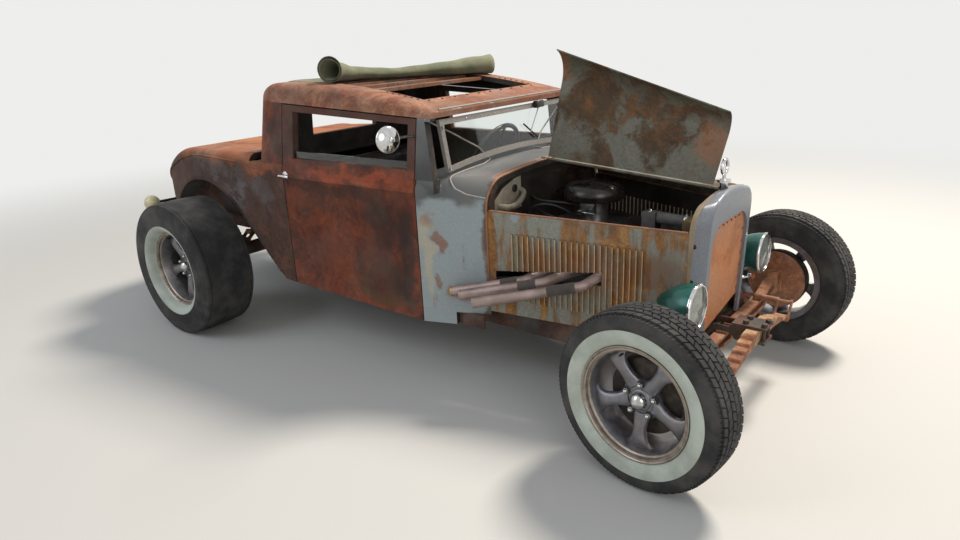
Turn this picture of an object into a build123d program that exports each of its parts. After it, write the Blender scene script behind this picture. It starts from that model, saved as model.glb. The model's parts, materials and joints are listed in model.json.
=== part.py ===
from build123d import *
import os
from math import asin, atan2, cos, degrees, hypot, radians, sin, sqrt, tan

os.makedirs("parts", exist_ok=True)

# Driving dimensions in millimetres. X runs forward from the rear axle, Y to the car's left, Z up.
# At the end every piece moves along X, so that the origin is the middle of the car's footprint.
wheelbase = 2660
rake_deg = 2.2
steer_rest_deg = -7
running_gap = 0.05
seam_gap = 6
clear = 0.3

# Wheels and tyres
flange_r = 207.5
bead_r = 190.5
barrel_r = 178
hub_r = 78
lug_circle_r = 57.15
lug_r = 11
cap_r = 31
spoke_w = 48
spoke_count = 5
slot_in_r = 84
slot_out_r = 160
front_tyre_r = 320
front_tyre_w = 165
front_tread_w = 128
front_rim_w = 150
front_centre_y = 726
rear_tyre_r = 363
rear_tyre_w = 289
rear_tread_w = 256
rear_rim_w = 205
rear_centre_y = 808.5
tyre_wall = 16
drum_r = 140
drum_t = 8

# Front axle and steering
kingpin_y = 615
kingpin_r = 11
boss_r = 26
boss_h = 76
spindle_r = 16
axle_z = 279
axle_h = 56
axle_w = 46
steering_arm = 130
steering_arm_z = 222
tie_rod_r = 11
tie_rod_z = 196

# Springs
front_spring_x = wheelbase + 125
front_spring_half = 345
front_spring_z = 300
rear_spring_half = 430
rear_spring_z = 494
spring_w = 50
spring_drop = 40
leaf_t = 8
leaf_count = 6
eye_r = 15

# Rear axle
axle_tube_r = 38
rear_spindle_r = 20
banjo_r = 118
banjo_half = 115
brake_plate_r = 136
torque_tube_r = 30
gearbox_x = 1380

# Frame rails
rail_h = 90
rail_w = 45
rail_t = 6
rail_top_at_axle = 419
kick_top = 572
kick_end_x = 190
kick_foot_x = 420
taper_start_x = 720
rail_rear_x = -430
rail_front_x = wheelbase - 40
front_cross_len = 78
rail_rear_y = 440
rail_front_y = 345

# Body shell
body_bottom_at_axle = 346.5
door_rear_x = 660
door_front_x = 1515
door_rear_w = 620
door_front_w = 585
body_wall = 34
belt_z = 930
belt_step = 6
tail_x = -775
deck_z = 962
deck_round = 55
tail_crown = 18
side_arc_x = 180
side_arc_r = 4446
side_arc_end = -500
corner_arc_r = 260
arch_x = -100
arch_z = 301
arch_r = 489
arch_slope_deg = 45
arch_lip = 14
arch_lip_t = 20
arch_lip_stand = 6
well_y = 478
well_wall = 8
lid_front_x = 232
lid_half = 345
lid_low = 610

# Cab and roof
cab_back_x = 402
cab_corner = 120
cab_taper = 0.15
cab_round = 62
roof_z = 1312
roof_start_x = 572
roof_curve_r = 5000
roof_wall = 26
drip_rear_z = 1236
drip_slope = 0.05
header_x = 1585
header_z = 1166
header_h = 36
pillar_foot_x = 1612
pillar_top_x = 1556
roof_hole_rear_x = 610
roof_hole_front_x = 1430
roof_hole_y = 400
window_low = 965
window_high_rear = 1184
window_high_front = 1152
window_rear_x = 735
window_front_x = 1467
glass_t = 4
glass_slot_w = 8
glass_inset = 5
handle_z = 884
back_window_y = 235
back_window_low = 1015
back_window_high = 1150

# Cowl, firewall and hood
cowl_front_x = 1800
cowl_w = 460
cowl_side_z = 802
cowl_corner = 122
cowl_top_z = 940
cowl_rear_top_z = 958
cowl_wall = 22
firewall_x = 1794
firewall_t = 6
firewall_low = 556
outrigger_x = 1655
outrigger_len = 135
outrigger_top = 340
outrigger_y = 500
outrigger_t = 8
outrigger_drop = 60
hood_t = 5
hood_rear_bottom = 356
hood_front_bottom = 322
hood_hinge_rear_z = 945
hood_hinge_front_z = 884
hood_hinge_r = 6
hood_open_deg = 107
hood_slant = 25
louver_first = 102
louver_last = 175
louver_pitch = 23.4
louver_w = 8
louver_top_drop = 84
louver_foot_rise = 66
pipe_slot_start = 28
pipe_slot_ahead = 28
pipe_slot_h = 54
pipe_slot_rear_z = 513
pipe_slot_front_z = 588

# Radiator and shell
shell_x = wheelbase - 60
shell_w = 281
shell_face_w = 223
shell_depth = 55
shell_side_z = 772
shell_corner = 92
shell_top_z = 882
shell_face_top = 905
shell_lean_deg = 2
shell_wall = 18
shell_mouth = 30
insert_t = 8
core_t = 52
core_top = 800
core_half = 226
cap_x = shell_x + 12

# Engine
engine_rear_x = 1880
engine_front_x = shell_x - 200
engine_low = 262
engine_high = 690
cleaner_x = 2045
cleaner_r = 134
cleaner_low = 790
cleaner_high = 868
pipe_r = 21
pipe_wall = 2
elbow_r = 45
hose_z = 750
exhaust_rows = (  # share along the engine, elbow's reach outboard, elbow's drop, tip's run back, tip y, tip z
    (0.712, 60, 17, 400, 645, 464),
    (0.404, 60, 6, 343, 600, 464),
    (0.202, 29, 6, 317, 560, 452),
)

# Lamps and small pieces
lamp_x = shell_x + 15
lamp_y = 380
lamp_z = 530
lamp_r = 92
lamp_len = 150
marker_z = 452
tail_lamp_x = -560
tail_lamp_y = 700
tail_lamp_z = 622
tail_lamp_r = 46
mirror_r = 52
floor_t = 6
floor_front_x = 1560
seat_half = 455
steering_x = 1240
steering_y = 330
steering_z = 860
steering_r = 190
column_foot_z = 578
windshield_half = 478
windshield_h = 222
windshield_tilt = -10
windshield_bow = 28
pillar_in = 488
slat_rows = (690, 790, 890, 990, 1100)
slat_half = 25
canvas_r = 50
canvas_ends = ((810, -370), (1106, 500))

DIRECTION = {"X": Vector(1, 0, 0), "Y": Vector(0, 1, 0), "Z": Vector(0, 0, 1)}


def rail_top(x):
    return rail_top_at_axle - tan(radians(rake_deg)) * x


def rail_y(x):
    share = max(0, (x - taper_start_x) / (rail_front_x - taper_start_x))
    return rail_rear_y + (rail_front_y - rail_rear_y) * share


def body_bottom(x):
    return body_bottom_at_axle - tan(radians(rake_deg)) * x


def side_w(x):
    share = (x - door_rear_x) / (door_front_x - door_rear_x)
    return door_rear_w + (door_front_w - door_rear_w) * share


def drip_z(x):
    return drip_rear_z - drip_slope * (x - cab_back_x)


def roof_top(x):
    return roof_z - roof_curve_r + sqrt(roof_curve_r ** 2 - (x - roof_start_x) ** 2)


def cowl_y(x):
    return door_front_w + (cowl_w - door_front_w) * (x - door_front_x) / (cowl_front_x - door_front_x)


def hood_y(x):
    return cowl_w + (shell_w - cowl_w) * (x - cowl_front_x) / (shell_x - cowl_front_x)


def lift(axis, level, p):
    return {"X": (level, *p), "Y": (p[0], level, p[1]), "Z": (*p, level)}[axis]


def outline(axis, level, start, moves):
    # A move is a point for a line, or a pair (point on the arc, end point) for an arc.
    edges = []
    here = start
    for move in moves + [start]:
        if isinstance(move[0], tuple):
            edges.append(ThreePointArc(*[lift(axis, level, p) for p in (here, *move)]))
            here = move[1]
        elif hypot(here[0] - move[0], here[1] - move[1]) > 1e-6:
            edges.append(Line(lift(axis, level, here), lift(axis, level, move)))
            here = move
    return make_face(edges).face()


def prism(axis, low, high, start, *moves):
    return Solid.extrude(outline(axis, low, start, list(moves)), DIRECTION[axis] * (high - low))


def block(x0, x1, y0, y1, z0, z1):
    return Pos((x0 + x1) / 2, (y0 + y1) / 2, (z0 + z1) / 2) * Box(abs(x1 - x0), abs(y1 - y0), abs(z1 - z0))


def rod(start, end, r):
    way = Vector(*end) - Vector(*start)
    return Plane(origin=start, z_dir=way) * Cylinder(r, way.length, align=(Align.CENTER, Align.CENTER, Align.MIN))


def ruled(faces):
    return Solid.make_loft([f.outer_wire() for f in faces], ruled=True)


def turned(side, start, *moves):
    # An outline of (distance outboard, radius) turned about the Y axis.
    def flip(move):
        return tuple(flip(p) for p in move) if isinstance(move[0], tuple) else (side * move[0], move[1])
    return revolve(outline("X", 0, flip(start), [flip(m) for m in moves]), Axis.Y)


def joined(pieces):
    whole = pieces[0]
    for piece in pieces[1:]:
        whole = whole + piece
    return whole


# Frame

def make_rail(side):
    stations = (  # x, top
        (rail_rear_x, kick_top),
        (kick_end_x, kick_top),
        (kick_foot_x, rail_top(kick_foot_x)),
        (taper_start_x, rail_top(taper_start_x)),
        (rail_front_x, rail_top(rail_front_x)),
    )
    sections = []
    for x, top in stations:
        low = top - rail_h
        out = side * rail_y(x)
        web = side * (rail_y(x) - rail_t)
        toe = side * (rail_y(x) - rail_w)
        sections.append(outline("X", x, (out, low), [
            (out, top), (toe, top), (toe, top - rail_t), (web, top - rail_t),
            (web, low + rail_t), (toe, low + rail_t), (toe, low)]))
    return ruled(sections)


def cross_member(x0, x1, top, h):
    middle = (x0 + x1) / 2
    half = rail_y(middle) - rail_t / 2
    return block(x0, x1, -half, half, top - h, top)


def leaf_sag(half, reach):
    radius = (half ** 2 + spring_drop ** 2) / (2 * spring_drop)
    return radius - sqrt(radius ** 2 - reach ** 2)


front_cross_top = rail_top(rail_front_x) - rail_t
rear_cross_low = rear_spring_z + leaf_t * leaf_count
spring_top_z = front_spring_z + leaf_t * leaf_count
perch_y = 50
perch_plate = 10


def make_perch():
    # Two arms reach over the axle to the plates that clamp the spring, held by four long bolts.
    t = perch_plate
    foot = front_cross_top
    front = front_spring_x - spring_w / 2 - 6
    rear = front_spring_x - 48 - 20
    x1 = front_spring_x + 48
    low = front_spring_z - leaf_sag(front_spring_half, perch_y) - running_gap
    knee = rear - 22
    pieces = [
        block(knee + 5, x1, -perch_y, perch_y, spring_top_z, spring_top_z + t),
        block(rear, x1, -perch_y, perch_y, low - t, low),
        block(rail_front_x - 8, rail_front_x + 12, -perch_y, perch_y, foot - 42, foot + 2),
    ]
    for side in (1, -1):
        pieces.append(prism("Y", side * perch_y, side * (perch_y - t),
                            (rail_front_x - 16, foot), (rail_front_x - 16, foot + 26), (knee - 5, foot + 26),
                            (knee + 10, spring_top_z + t), (front, spring_top_z + t), (front, low - t),
                            (rear, low - t), (knee, foot)))
        for x in (front_spring_x - 36, front_spring_x + 36):
            y = side * (perch_y - 24)
            pieces.append(rod((x, y, low - 2 * t), (x, y, spring_top_z + 2.4 * t), 7))
            pieces.append(rod((x, y, spring_top_z + t), (x, y, spring_top_z + 2.4 * t), 12))
    return joined(pieces)


def make_outrigger(side):
    # A bracket from the rail that carries the cowl's foot.
    x0 = outrigger_x
    x1 = outrigger_x + outrigger_len
    x2 = x0 + outrigger_t

    def web(x):
        return (x, side * (rail_y(x) - rail_t / 2))
    out = side * outrigger_y
    low = outrigger_top - outrigger_drop
    return (prism("Z", outrigger_top - outrigger_t, outrigger_top, web(x0), web(x1), (x1, out), (x0, out))
            + block(x0, x1, out, out - side * outrigger_t, low, outrigger_top)
            + prism("Z", low, outrigger_top, web(x0), web(x2), (x2, out), (x0, out)))


def make_front_crossmember():
    # A beam that fits between the rails' webs and flanges and carries the perch of the spring.
    x1 = rail_front_x - 2
    x0 = x1 - front_cross_len

    def foot(x):
        return (x, rail_top(x) - rail_h + rail_t)

    def web(x, side):
        return (x, side * (rail_y(x) - rail_t))
    beam = prism("Y", -rail_rear_y, rail_rear_y, (x0, front_cross_top), (x1, front_cross_top), foot(x1), foot(x0))
    beam = beam & prism("Z", front_cross_top - rail_h, front_cross_top + rail_h, web(x0, -1), web(x1, -1),
                        web(x1, 1), web(x0, 1))
    return beam + make_perch()


def make_frame():
    pieces = [make_rail(1), make_rail(-1), make_outrigger(1), make_outrigger(-1)]
    pieces.append(cross_member(1290, 1350, rail_top(1320) - rail_t, 24))
    pieces.append(cross_member(-45, 45, kick_top - rail_t, kick_top - rail_t - rear_cross_low))
    pieces.append(cross_member(rail_rear_x, rail_rear_x + 45, kick_top - rail_t, rail_h - 2 * rail_t))
    return joined(pieces)


# Springs and axles

def leaf_pack(x, half, z):
    pieces = []
    for k in range(leaf_count):
        reach = half * (1 - 0.13 * k)
        sag = leaf_sag(half, reach)
        low = z + k * leaf_t - (0.4 if k else 0)
        high = z + (k + 1) * leaf_t
        pieces.append(prism("X", x - spring_w / 2, x + spring_w / 2,
                            (-reach, low - sag), ((0, low), (reach, low - sag)),
                            (reach, high - sag), ((0, high), (-reach, high - sag))))
    whole = joined(pieces)
    for side in (1, -1):
        eye = (x - spring_w / 2, side * half, z - spring_drop)
        whole = whole + rod(eye, (x + spring_w / 2, *eye[1:]), eye_r)
        whole = whole - rod((x - spring_w, *eye[1:]), (x + spring_w, *eye[1:]), 7 + running_gap)
    return whole


def make_springs():
    return leaf_pack(front_spring_x, front_spring_half, front_spring_z) + leaf_pack(0, rear_spring_half, rear_spring_z)


def shackle(x, y, z, top):
    # Two side plates on a pin through the spring's eye.
    face = spring_w / 2 + clear
    pieces = [rod((x - face - 7, y, z), (x + face + 7, y, z), 7)]
    pieces.append(rod((x - face - 7, *top), (x + face + 7, *top), 7))
    for sign in (1, -1):
        x0 = x + sign * face
        for point in ((y, z), top):
            pieces.append(rod((x0, *point), (x0 + sign * 7, *point), 13))
        way = Vector(0, top[0] - y, top[1] - z)
        plate = Box(7, 20, way.length)
        tilt = degrees(atan2(-way.Y, way.Z))
        pieces.append(Pos(x0 + sign * 3.5, (y + top[0]) / 2, (z + top[1]) / 2) * Rot(tilt, 0, 0) * plate)
    return joined(pieces)


def beam_section(y, z):
    half_w = axle_w / 2
    half_h = axle_h / 2
    web = 6
    flange = 11
    x = wheelbase
    return outline("Y", y, (x - half_w, z - half_h), [
        (x + half_w, z - half_h), (x + half_w, z - half_h + flange), (x + web, z - half_h + flange),
        (x + web, z + half_h - flange), (x + half_w, z + half_h - flange), (x + half_w, z + half_h),
        (x - half_w, z + half_h), (x - half_w, z + half_h - flange), (x - web, z + half_h - flange),
        (x - web, z - half_h + flange), (x - half_w, z - half_h + flange)])


def make_front_axle():
    stations = (  # y, centre height
        (-kingpin_y + 8, front_tyre_r), (-kingpin_y + 60, front_tyre_r - 6), (-450, axle_z),
        (450, axle_z), (kingpin_y - 60, front_tyre_r - 6), (kingpin_y - 8, front_tyre_r))
    whole = ruled([beam_section(y, z) for y, z in stations])
    for side in (1, -1):
        y = side * kingpin_y
        low = front_tyre_r - boss_h / 2
        high = front_tyre_r + boss_h / 2
        whole = whole + rod((wheelbase, y, low), (wheelbase, y, high), boss_r)
        whole = whole - rod((wheelbase, y, low - 5), (wheelbase, y, high + 5), kingpin_r + running_gap)
        eye_z = front_spring_z - spring_drop
        top = (side * (front_spring_half + 38), eye_z + 62)
        back = front_spring_x - spring_w / 2 - clear - 5
        whole = whole + rod((wheelbase, top[0], axle_z), (wheelbase, *top), 13)
        whole = whole + Pos(wheelbase, *top) * Sphere(13)
        whole = whole + rod((wheelbase, *top), (back, *top), 13)
        whole = whole + shackle(front_spring_x, side * front_spring_half, eye_z, top)
    return whole


def make_rear_axle():
    z = rear_tyre_r
    plate = rear_centre_y - 112
    end = rear_centre_y + 26
    left = [(-end, rear_spindle_r), (-plate, rear_spindle_r), (-plate, brake_plate_r), (8 - plate, brake_plate_r),
            (8 - plate, axle_tube_r), (-banjo_half, axle_tube_r)]
    right = [(-y, r) for y, r in reversed(left)]
    housing = turned(1, (-end, 0), *left, ((0, banjo_r), right[0]), *right[1:], (end, 0))
    whole = Pos(0, 0, z) * housing
    torque_tube = rod((60, 0, z), (gearbox_x + 20, 0, 299), torque_tube_r)
    whole = whole + (torque_tube & block(0, gearbox_x, -50, 50, 200, 500))
    for side in (1, -1):
        eye_z = rear_spring_z - spring_drop
        top = (side * (rear_spring_half + 34), eye_z - 30)
        whole = whole + rod((0, top[0], z), (0, *top), 12)
        whole = whole + shackle(0, side * rear_spring_half, eye_z, top)
    return whole


# Wheels, built outboard from their own centre and moved to the axle

def make_tyre(side, r, w, tread_w, rim_w):
    bead = rim_w / 2 - 7
    hw = w / 2
    tw = tread_w / 2
    middle = (flange_r + r) / 2 - 6
    wall = tyre_wall
    shoulder = r - 14

    def half(sign):
        outer = [(sign * bead, flange_r), ((sign * hw, middle), (sign * (tw + 8), shoulder)), (sign * tw, r - 4)]
        return outer
    left = half(-1)
    right = half(1)
    ib = bead - wall
    ih = hw - wall
    it = tw - 8
    return turned(side, (bead, bead_r), right[0], right[1], right[2], ((0, r), (-tw, r - 4)),
                  (-tw - 8, shoulder), ((-hw, middle), (-bead, flange_r)), (-bead, bead_r),
                  (-ib, bead_r), (-ib, flange_r), ((-ih, middle), (-it, r - wall - 8)),
                  ((0, r - wall), (it, r - wall - 8)), ((ih, middle), (ib, flange_r)), (ib, bead_r))


def slot_tool(angle):
    def polar(r, deg):
        return (r * sin(radians(deg)), r * cos(radians(deg)))
    inner = 180 / spoke_count - degrees(spoke_w / 2 / slot_in_r)
    outer = 180 / spoke_count - degrees(spoke_w / 2 / slot_out_r)
    tool = prism("Y", -300, 300, polar(slot_in_r, -inner), (polar(slot_in_r, 0), polar(slot_in_r, inner)),
                 polar(slot_out_r, outer), (polar(slot_out_r, 0), polar(slot_out_r, -outer)))
    return Rot(0, angle, 0) * tool


def make_wheel(side, rim_w, hub_s, drum_s, bore_r):
    h = rim_w / 2
    barrel = turned(side, (-h, barrel_r), (-h, flange_r), (-h + 7, flange_r), (-h + 7, bead_r),
                    (h - 7, bead_r), (h - 7, flange_r), (h, flange_r), (h, bead_r + 4), (h - 12, barrel_r))
    face = hub_s
    disc = turned(side, (face - 30, bore_r), (face, bore_r), (face, hub_r), (face + 14, slot_out_r),
                  (face + 8, barrel_r + 1), (face - 18, barrel_r + 1), (face - 8, slot_out_r), (face - 24, hub_r),
                  (face - 30, hub_r - 6))
    for k in range(spoke_count):
        disc = disc - slot_tool(360 / spoke_count * (k + 0.5))
    drum = turned(side, (drum_s, drum_r - drum_t), (drum_s, drum_r), (face - 24, drum_r),
                  (face - 24, bore_r), (face - 36, bore_r), (face - 36, drum_r - drum_t))
    whole = barrel + disc + drum
    cap = turned(side, (face - 1, 0), (face - 1, cap_r), (face + 26, cap_r - 3), (face + 36, cap_r - 10),
                 (face + 41, 0))
    bore = rod((0, side * (face - 60), 0), (0, side * (face + 16), 0), bore_r)
    whole = (whole + cap) - bore
    for k in range(spoke_count):
        turn = radians(360 / spoke_count * k)
        x = lug_circle_r * sin(turn)
        z = lug_circle_r * cos(turn)
        whole = whole + rod((x, side * (face - 1), z), (x, side * (face + 17), z), lug_r)
    return whole


def at_rear(side, piece):
    return Pos(0, side * rear_centre_y, rear_tyre_r) * piece


def at_front(side, piece):
    # A piece given about the kingpin, turned to the steering angle at which the car stands.
    return Pos(wheelbase, side * kingpin_y, front_tyre_r) * Rot(0, 0, steer_rest_deg) * piece


wheel_offset = front_centre_y - kingpin_y


def make_front_wheel(side):
    wheel = make_wheel(side, front_rim_w, 22, -58, spindle_r + running_gap)
    return at_front(side, Pos(0, side * wheel_offset, 0) * wheel)


def make_front_tyre(side):
    tyre = make_tyre(side, front_tyre_r, front_tyre_w, front_tread_w, front_rim_w)
    return at_front(side, Pos(0, side * wheel_offset, 0) * tyre)


def make_knuckle(side):
    ear_low = boss_h / 2 + clear
    pieces = []
    for sign in (1, -1):
        pieces.append(rod((0, 0, sign * ear_low), (0, 0, sign * (ear_low + 16)), boss_r))
        pieces.append(block(-20, 20, 0, side * 44, sign * ear_low, sign * (ear_low + 16)))
    pieces.append(rod((0, 0, -ear_low - 10), (0, 0, ear_low + 10), kingpin_r))
    pieces.append(block(-30, 30, side * 31, side * 44, -ear_low - 16, ear_low + 16))
    pieces.append(rod((0, side * 43, 0), (0, side * 47, 0), drum_r - 3))
    pieces.append(rod((0, side * 46, 0), (0, side * (wheel_offset + 34), 0), spindle_r))
    arm_z = steering_arm_z - front_tyre_r
    bend = (-steering_arm / 2, side * 10, arm_z + 12)
    pieces.append(rod((0, side * 36, -ear_low - 8), bend, 10))
    pieces.append(Pos(*bend) * Sphere(10))
    pieces.append(rod(bend, (-steering_arm, 0, arm_z), 10))
    pieces.append(rod((-steering_arm, 0, arm_z - 9), (-steering_arm, 0, arm_z + 10), 14))
    whole = joined(pieces)
    pin = rod((-steering_arm, 0, arm_z - 30), (-steering_arm, 0, arm_z + 30), 6 + running_gap)
    return at_front(side, whole - pin)


def arm_end(side):
    turn = radians(steer_rest_deg)
    return (wheelbase - steering_arm * cos(turn), side * kingpin_y - steering_arm * sin(turn))


def make_tie_rod():
    low = {side: (*arm_end(side), tie_rod_z) for side in (1, -1)}
    pieces = [rod(low[-1], low[1], tie_rod_r)]
    for side in (1, -1):
        x, y, z = low[side]
        pieces.append(rod((x, y, z - 12), (x, y, steering_arm_z - 9 - clear), 13))
        pieces.append(rod((x, y, z), (x, y, steering_arm_z + 14), 6))
    return joined(pieces)


# Body

def tub_face(grow, drop):
    # The tub's side outline; grow is negative for the inner skin, and drop opens its underside.
    x0 = door_rear_x + 60
    top = deck_z + grow
    tail = tail_x - grow
    return outline("Y", -800, (x0, body_bottom(x0) - drop), [
        (x0, top), ((150, top + 2), (-150, top - 10)), ((-530, top - 104), (tail + 42, 640)),
        ((tail + 8, 560), (tail, 470)), (tail + 30, body_bottom(tail) - drop), (-300, body_bottom(-300) - drop)])


def tub_plan(grow):
    # Three arcs that run into each other: the long side, the corner and the tail.
    w = door_rear_w + grow
    x0 = door_rear_x + 60
    turn = asin((side_arc_x - side_arc_end) / side_arc_r)
    corner_x = side_arc_x - (side_arc_r - corner_arc_r) * sin(turn)
    corner_y = door_rear_w - side_arc_r + (side_arc_r - corner_arc_r) * cos(turn)
    tip_x = tail_x - tail_crown
    ahead = corner_x - tip_x
    tail_r = (ahead ** 2 + corner_y ** 2 - corner_arc_r ** 2) / (2 * (ahead - corner_arc_r))
    tail_turn = atan2(tip_x + tail_r - corner_x, corner_y)

    def around(x, y, r, angle, mirror):
        return (x - (r + grow) * sin(angle), mirror * (y + (r + grow) * cos(angle)))

    def half(mirror):
        side_y = door_rear_w - side_arc_r
        return [around(side_arc_x, side_y, side_arc_r, turn / 2, mirror),
                around(side_arc_x, side_y, side_arc_r, turn, mirror),
                around(corner_x, corner_y, corner_arc_r, (turn + tail_turn) / 2, mirror),
                around(corner_x, corner_y, corner_arc_r, tail_turn, mirror)]
    left = half(1)
    right = half(-1)
    return outline("Z", 200, (x0, w), [
        (side_arc_x, w), (left[0], left[1]), (left[2], left[3]), ((tip_x - grow, 0), right[3]),
        (right[2], right[1]), (right[0], (side_arc_x, -w)), (x0, -w)])


def tub_solid(grow, drop):
    side = Solid.extrude(tub_face(grow, drop), Vector(0, 1600, 0))
    plan = Solid.extrude(tub_plan(grow), Vector(0, 0, 1200))
    return side & plan


def arch_outline(grow):
    # An arc over the wheel that runs into a straight slope down to the door's foot.
    r = arch_r + grow
    turn = radians(90 - arch_slope_deg)
    start = (arch_x + r * cos(turn), arch_z + r * sin(turn))
    drop = start[1] - 150
    foot = (start[0] + drop / tan(radians(arch_slope_deg)), 150)
    return (foot, start, (arch_x, arch_z + r), (arch_x - r, arch_z), (arch_x - r, 150))


def arch_tool(grow, y0, y1):
    foot, start, top, rear, rear_foot = arch_outline(grow)
    return prism("Y", y0, y1, foot, start, (top, rear), rear_foot)


def lid_tool(gap):
    half = lid_half + gap
    return block(tail_x - 60, lid_front_x + gap, -half, half, lid_low - gap, 1200)


def make_tub():
    outer = tub_solid(0, 0)
    rim = [e for e in outer.edges() if e.center().Z > 700 and abs(e.center().Y) > 300 and e.center().X < door_rear_x]
    return outer.fillet(deck_round, rim) - tub_solid(-body_wall, 60)


def make_rear_body(shell):
    front = door_rear_x - seam_gap
    cab_in = cab_back_x + body_wall
    inside = door_rear_w - body_wall
    whole = shell & block(tail_x - 50, front, -800, 800, 100, 1300)
    whole = whole - block(cab_in, front + 100, -inside, inside, 100, 1400)
    whole = whole - block(cab_back_x - 20, front + 50, -800, 800, belt_z, 1400)
    whole = whole + block(cab_back_x, cab_in, -inside, inside, belt_z - body_wall, belt_z)
    within = tub_solid(-body_wall / 2, 0)
    band = tub_solid(arch_lip_stand, 0) - tub_solid(arch_lip_stand - arch_lip_t, 0)
    for side in (1, -1):
        hole = arch_tool(0, side * well_y, side * 800)
        whole = whole - arch_tool(0, side * (well_y - 60), side * 800)
        cup = arch_tool(well_wall, side * (well_y - well_wall), side * 800) - hole
        cup = (cup & within) - block(tail_x, front, side * 400, side * well_y, 100, kick_top)
        lip = (arch_tool(arch_lip, side * well_y, side * 800) - hole) & band
        whole = whole + ((cup + lip) & block(tail_x, front, side * 400, side * 800, body_bottom(-300), 900))
    return whole - lid_tool(seam_gap)


def make_deck_lid(shell):
    return shell & lid_tool(0)


def cab_plan(z, grow):
    drop = cab_taper * (z - belt_z)
    front_x = header_x + 60
    w_rear = side_w(door_rear_x) - belt_step - drop + grow
    w_front = side_w(front_x) - belt_step - drop + grow
    back = cab_back_x + 0.08 * (z - belt_z) - grow
    corner = cab_corner + grow
    slip = corner * (1 - sqrt(0.5))
    return outline("Z", z, (front_x, w_front), [
        (door_rear_x, w_rear), (back + corner, w_rear),
        ((back + slip, w_rear - slip), (back, w_rear - corner)), (back, corner - w_rear),
        ((back + slip, slip - w_rear), (back + corner, -w_rear)), (door_rear_x, -w_rear), (front_x, -w_front)])


def cab_solid(grow, roof_drop):
    walls = ruled([cab_plan(belt_z, grow), cab_plan(roof_z + 60, grow)])
    back = cab_back_x - grow
    profile = prism("Y", -800, 800, (back - 20, belt_z), (back - 20, 1178 - roof_drop),
                    ((back + 52, 1272 - roof_drop), (roof_start_x, roof_z - roof_drop)),
                    ((1050, roof_top(1050) - roof_drop), (header_x - 60, roof_top(header_x - 60) - roof_drop)),
                    (header_x, header_z + header_h - roof_drop),
                    (header_x, header_z), (pillar_top_x, header_z), (pillar_foot_x, belt_z))
    return walls & profile


def make_cab_shell():
    outer = cab_solid(0, 0)
    ridge = [e for e in outer.edges()
             if e.center().Z > 1180 and abs(e.center().Y) > 300 and e.length > 200 and e.center().X < header_x - 40]
    outer = outer.fillet(cab_round, ridge)
    inner = cab_solid(-body_wall, roof_wall)
    inner = inner + block(header_x - 80, header_x + 100, -pillar_in, pillar_in, belt_z - 10, header_z)
    return outer - inner


def under_drip(x0, x1, gap):
    return prism("Y", -800, 800, (x0, belt_z - 5), (x0, drip_z(x0) - gap), (x1, drip_z(x1) - gap), (x1, belt_z - 5))


def make_cab_rear(cab):
    whole = cab & under_drip(cab_back_x - 60, door_rear_x - seam_gap, 0)
    return whole - block(cab_back_x - 60, cab_back_x + 100, -back_window_y, back_window_y,
                         back_window_low, back_window_high)


def make_roof(cab):
    whole = cab - under_drip(cab_back_x - 60, header_x + 60, 0)
    whole = whole - block(roof_hole_rear_x, roof_hole_front_x, -roof_hole_y, roof_hole_y, 1180, 1500)
    return whole & block(cab_back_x - 60, header_x + 10, -800, 800, drip_z(header_x), 1500)


def door_side(side):
    return block(0, wheelbase, side * 300, side * 900, 100, 1600)


def glass_run(side, reach, half):
    # Corners of a strip along the middle of the door's wall, past both ends of the window.
    middle = belt_step + body_wall / 2 + glass_inset
    x0 = window_rear_x - reach
    x1 = window_front_x + reach
    y0 = side_w(x0) - middle
    y1 = side_w(x1) - middle
    return [(x0, side * (y0 - half)), (x0, side * (y0 + half)), (x1, side * (y1 + half)), (x1, side * (y1 - half))]


def make_door(cab, side):
    x0 = door_rear_x
    x1 = door_front_x - seam_gap
    outer = [(x0, side * side_w(x0)), (x1, side * side_w(x1))]
    inner = [(x1, side * (side_w(x1) - body_wall)), (x0, side * (side_w(x0) - body_wall))]
    lower = prism("Z", 200, belt_z, outer[0], outer[1], *inner)
    lower = lower & prism("Y", -800, 800, (x0, body_bottom(x0)), (x0, belt_z), (x1, belt_z), (x1, body_bottom(x1)))
    upper = cab & under_drip(x0, x1, seam_gap) & door_side(side)
    window = prism("Y", -800, 800, (window_rear_x, window_low), (window_rear_x, window_high_rear),
                   (window_front_x, window_high_front), (window_front_x, window_low))
    moulding = prism("Z", handle_z - 12, handle_z + 12, (x0, side * (side_w(x0) - 5)), (x0, side * (side_w(x0) + 5)),
                     (x1, side * (side_w(x1) + 5)), (x1, side * (side_w(x1) - 5)))
    whole = lower + (upper - window) + moulding
    slot = prism("Z", window_low - 40, window_low + 38, *glass_run(side, 20, glass_slot_w / 2))
    handle_x = x0 + 22
    y = side * side_w(handle_x)
    handle = rod((handle_x, y - side * 2, handle_z), (handle_x, y + side * 34, handle_z), 5)
    handle = handle + rod((handle_x - 12, y + side * 34, handle_z), (handle_x + 62, y + side * 34, handle_z), 7)
    return whole - slot + handle


def make_door_glass(side):
    return prism("Z", window_low - 38, window_low + 34, *glass_run(side, 15, glass_t / 2))


def make_mirror(door):
    side = -1
    stalk_x = door_front_x - 22
    z = 1105
    y0 = side * (side_w(stalk_x) - belt_step - cab_taper * (z - belt_z) - 10)
    head = (1603, side * 800, 1131)
    bend = (1535, side * 640, 1118)
    pieces = [rod((stalk_x, y0, z), bend, 7), Pos(*bend) * Sphere(7), rod(bend, head, 7)]
    face = Plane(origin=head, z_dir=(1, -0.25, 0.05))
    pieces.append(face * Cylinder(mirror_r, 10))
    pieces.append(face * Pos(0, 0, 5) * Cone(mirror_r, 14, 16, align=(Align.CENTER, Align.CENTER, Align.MIN)))
    return joined(pieces) - door


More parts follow.
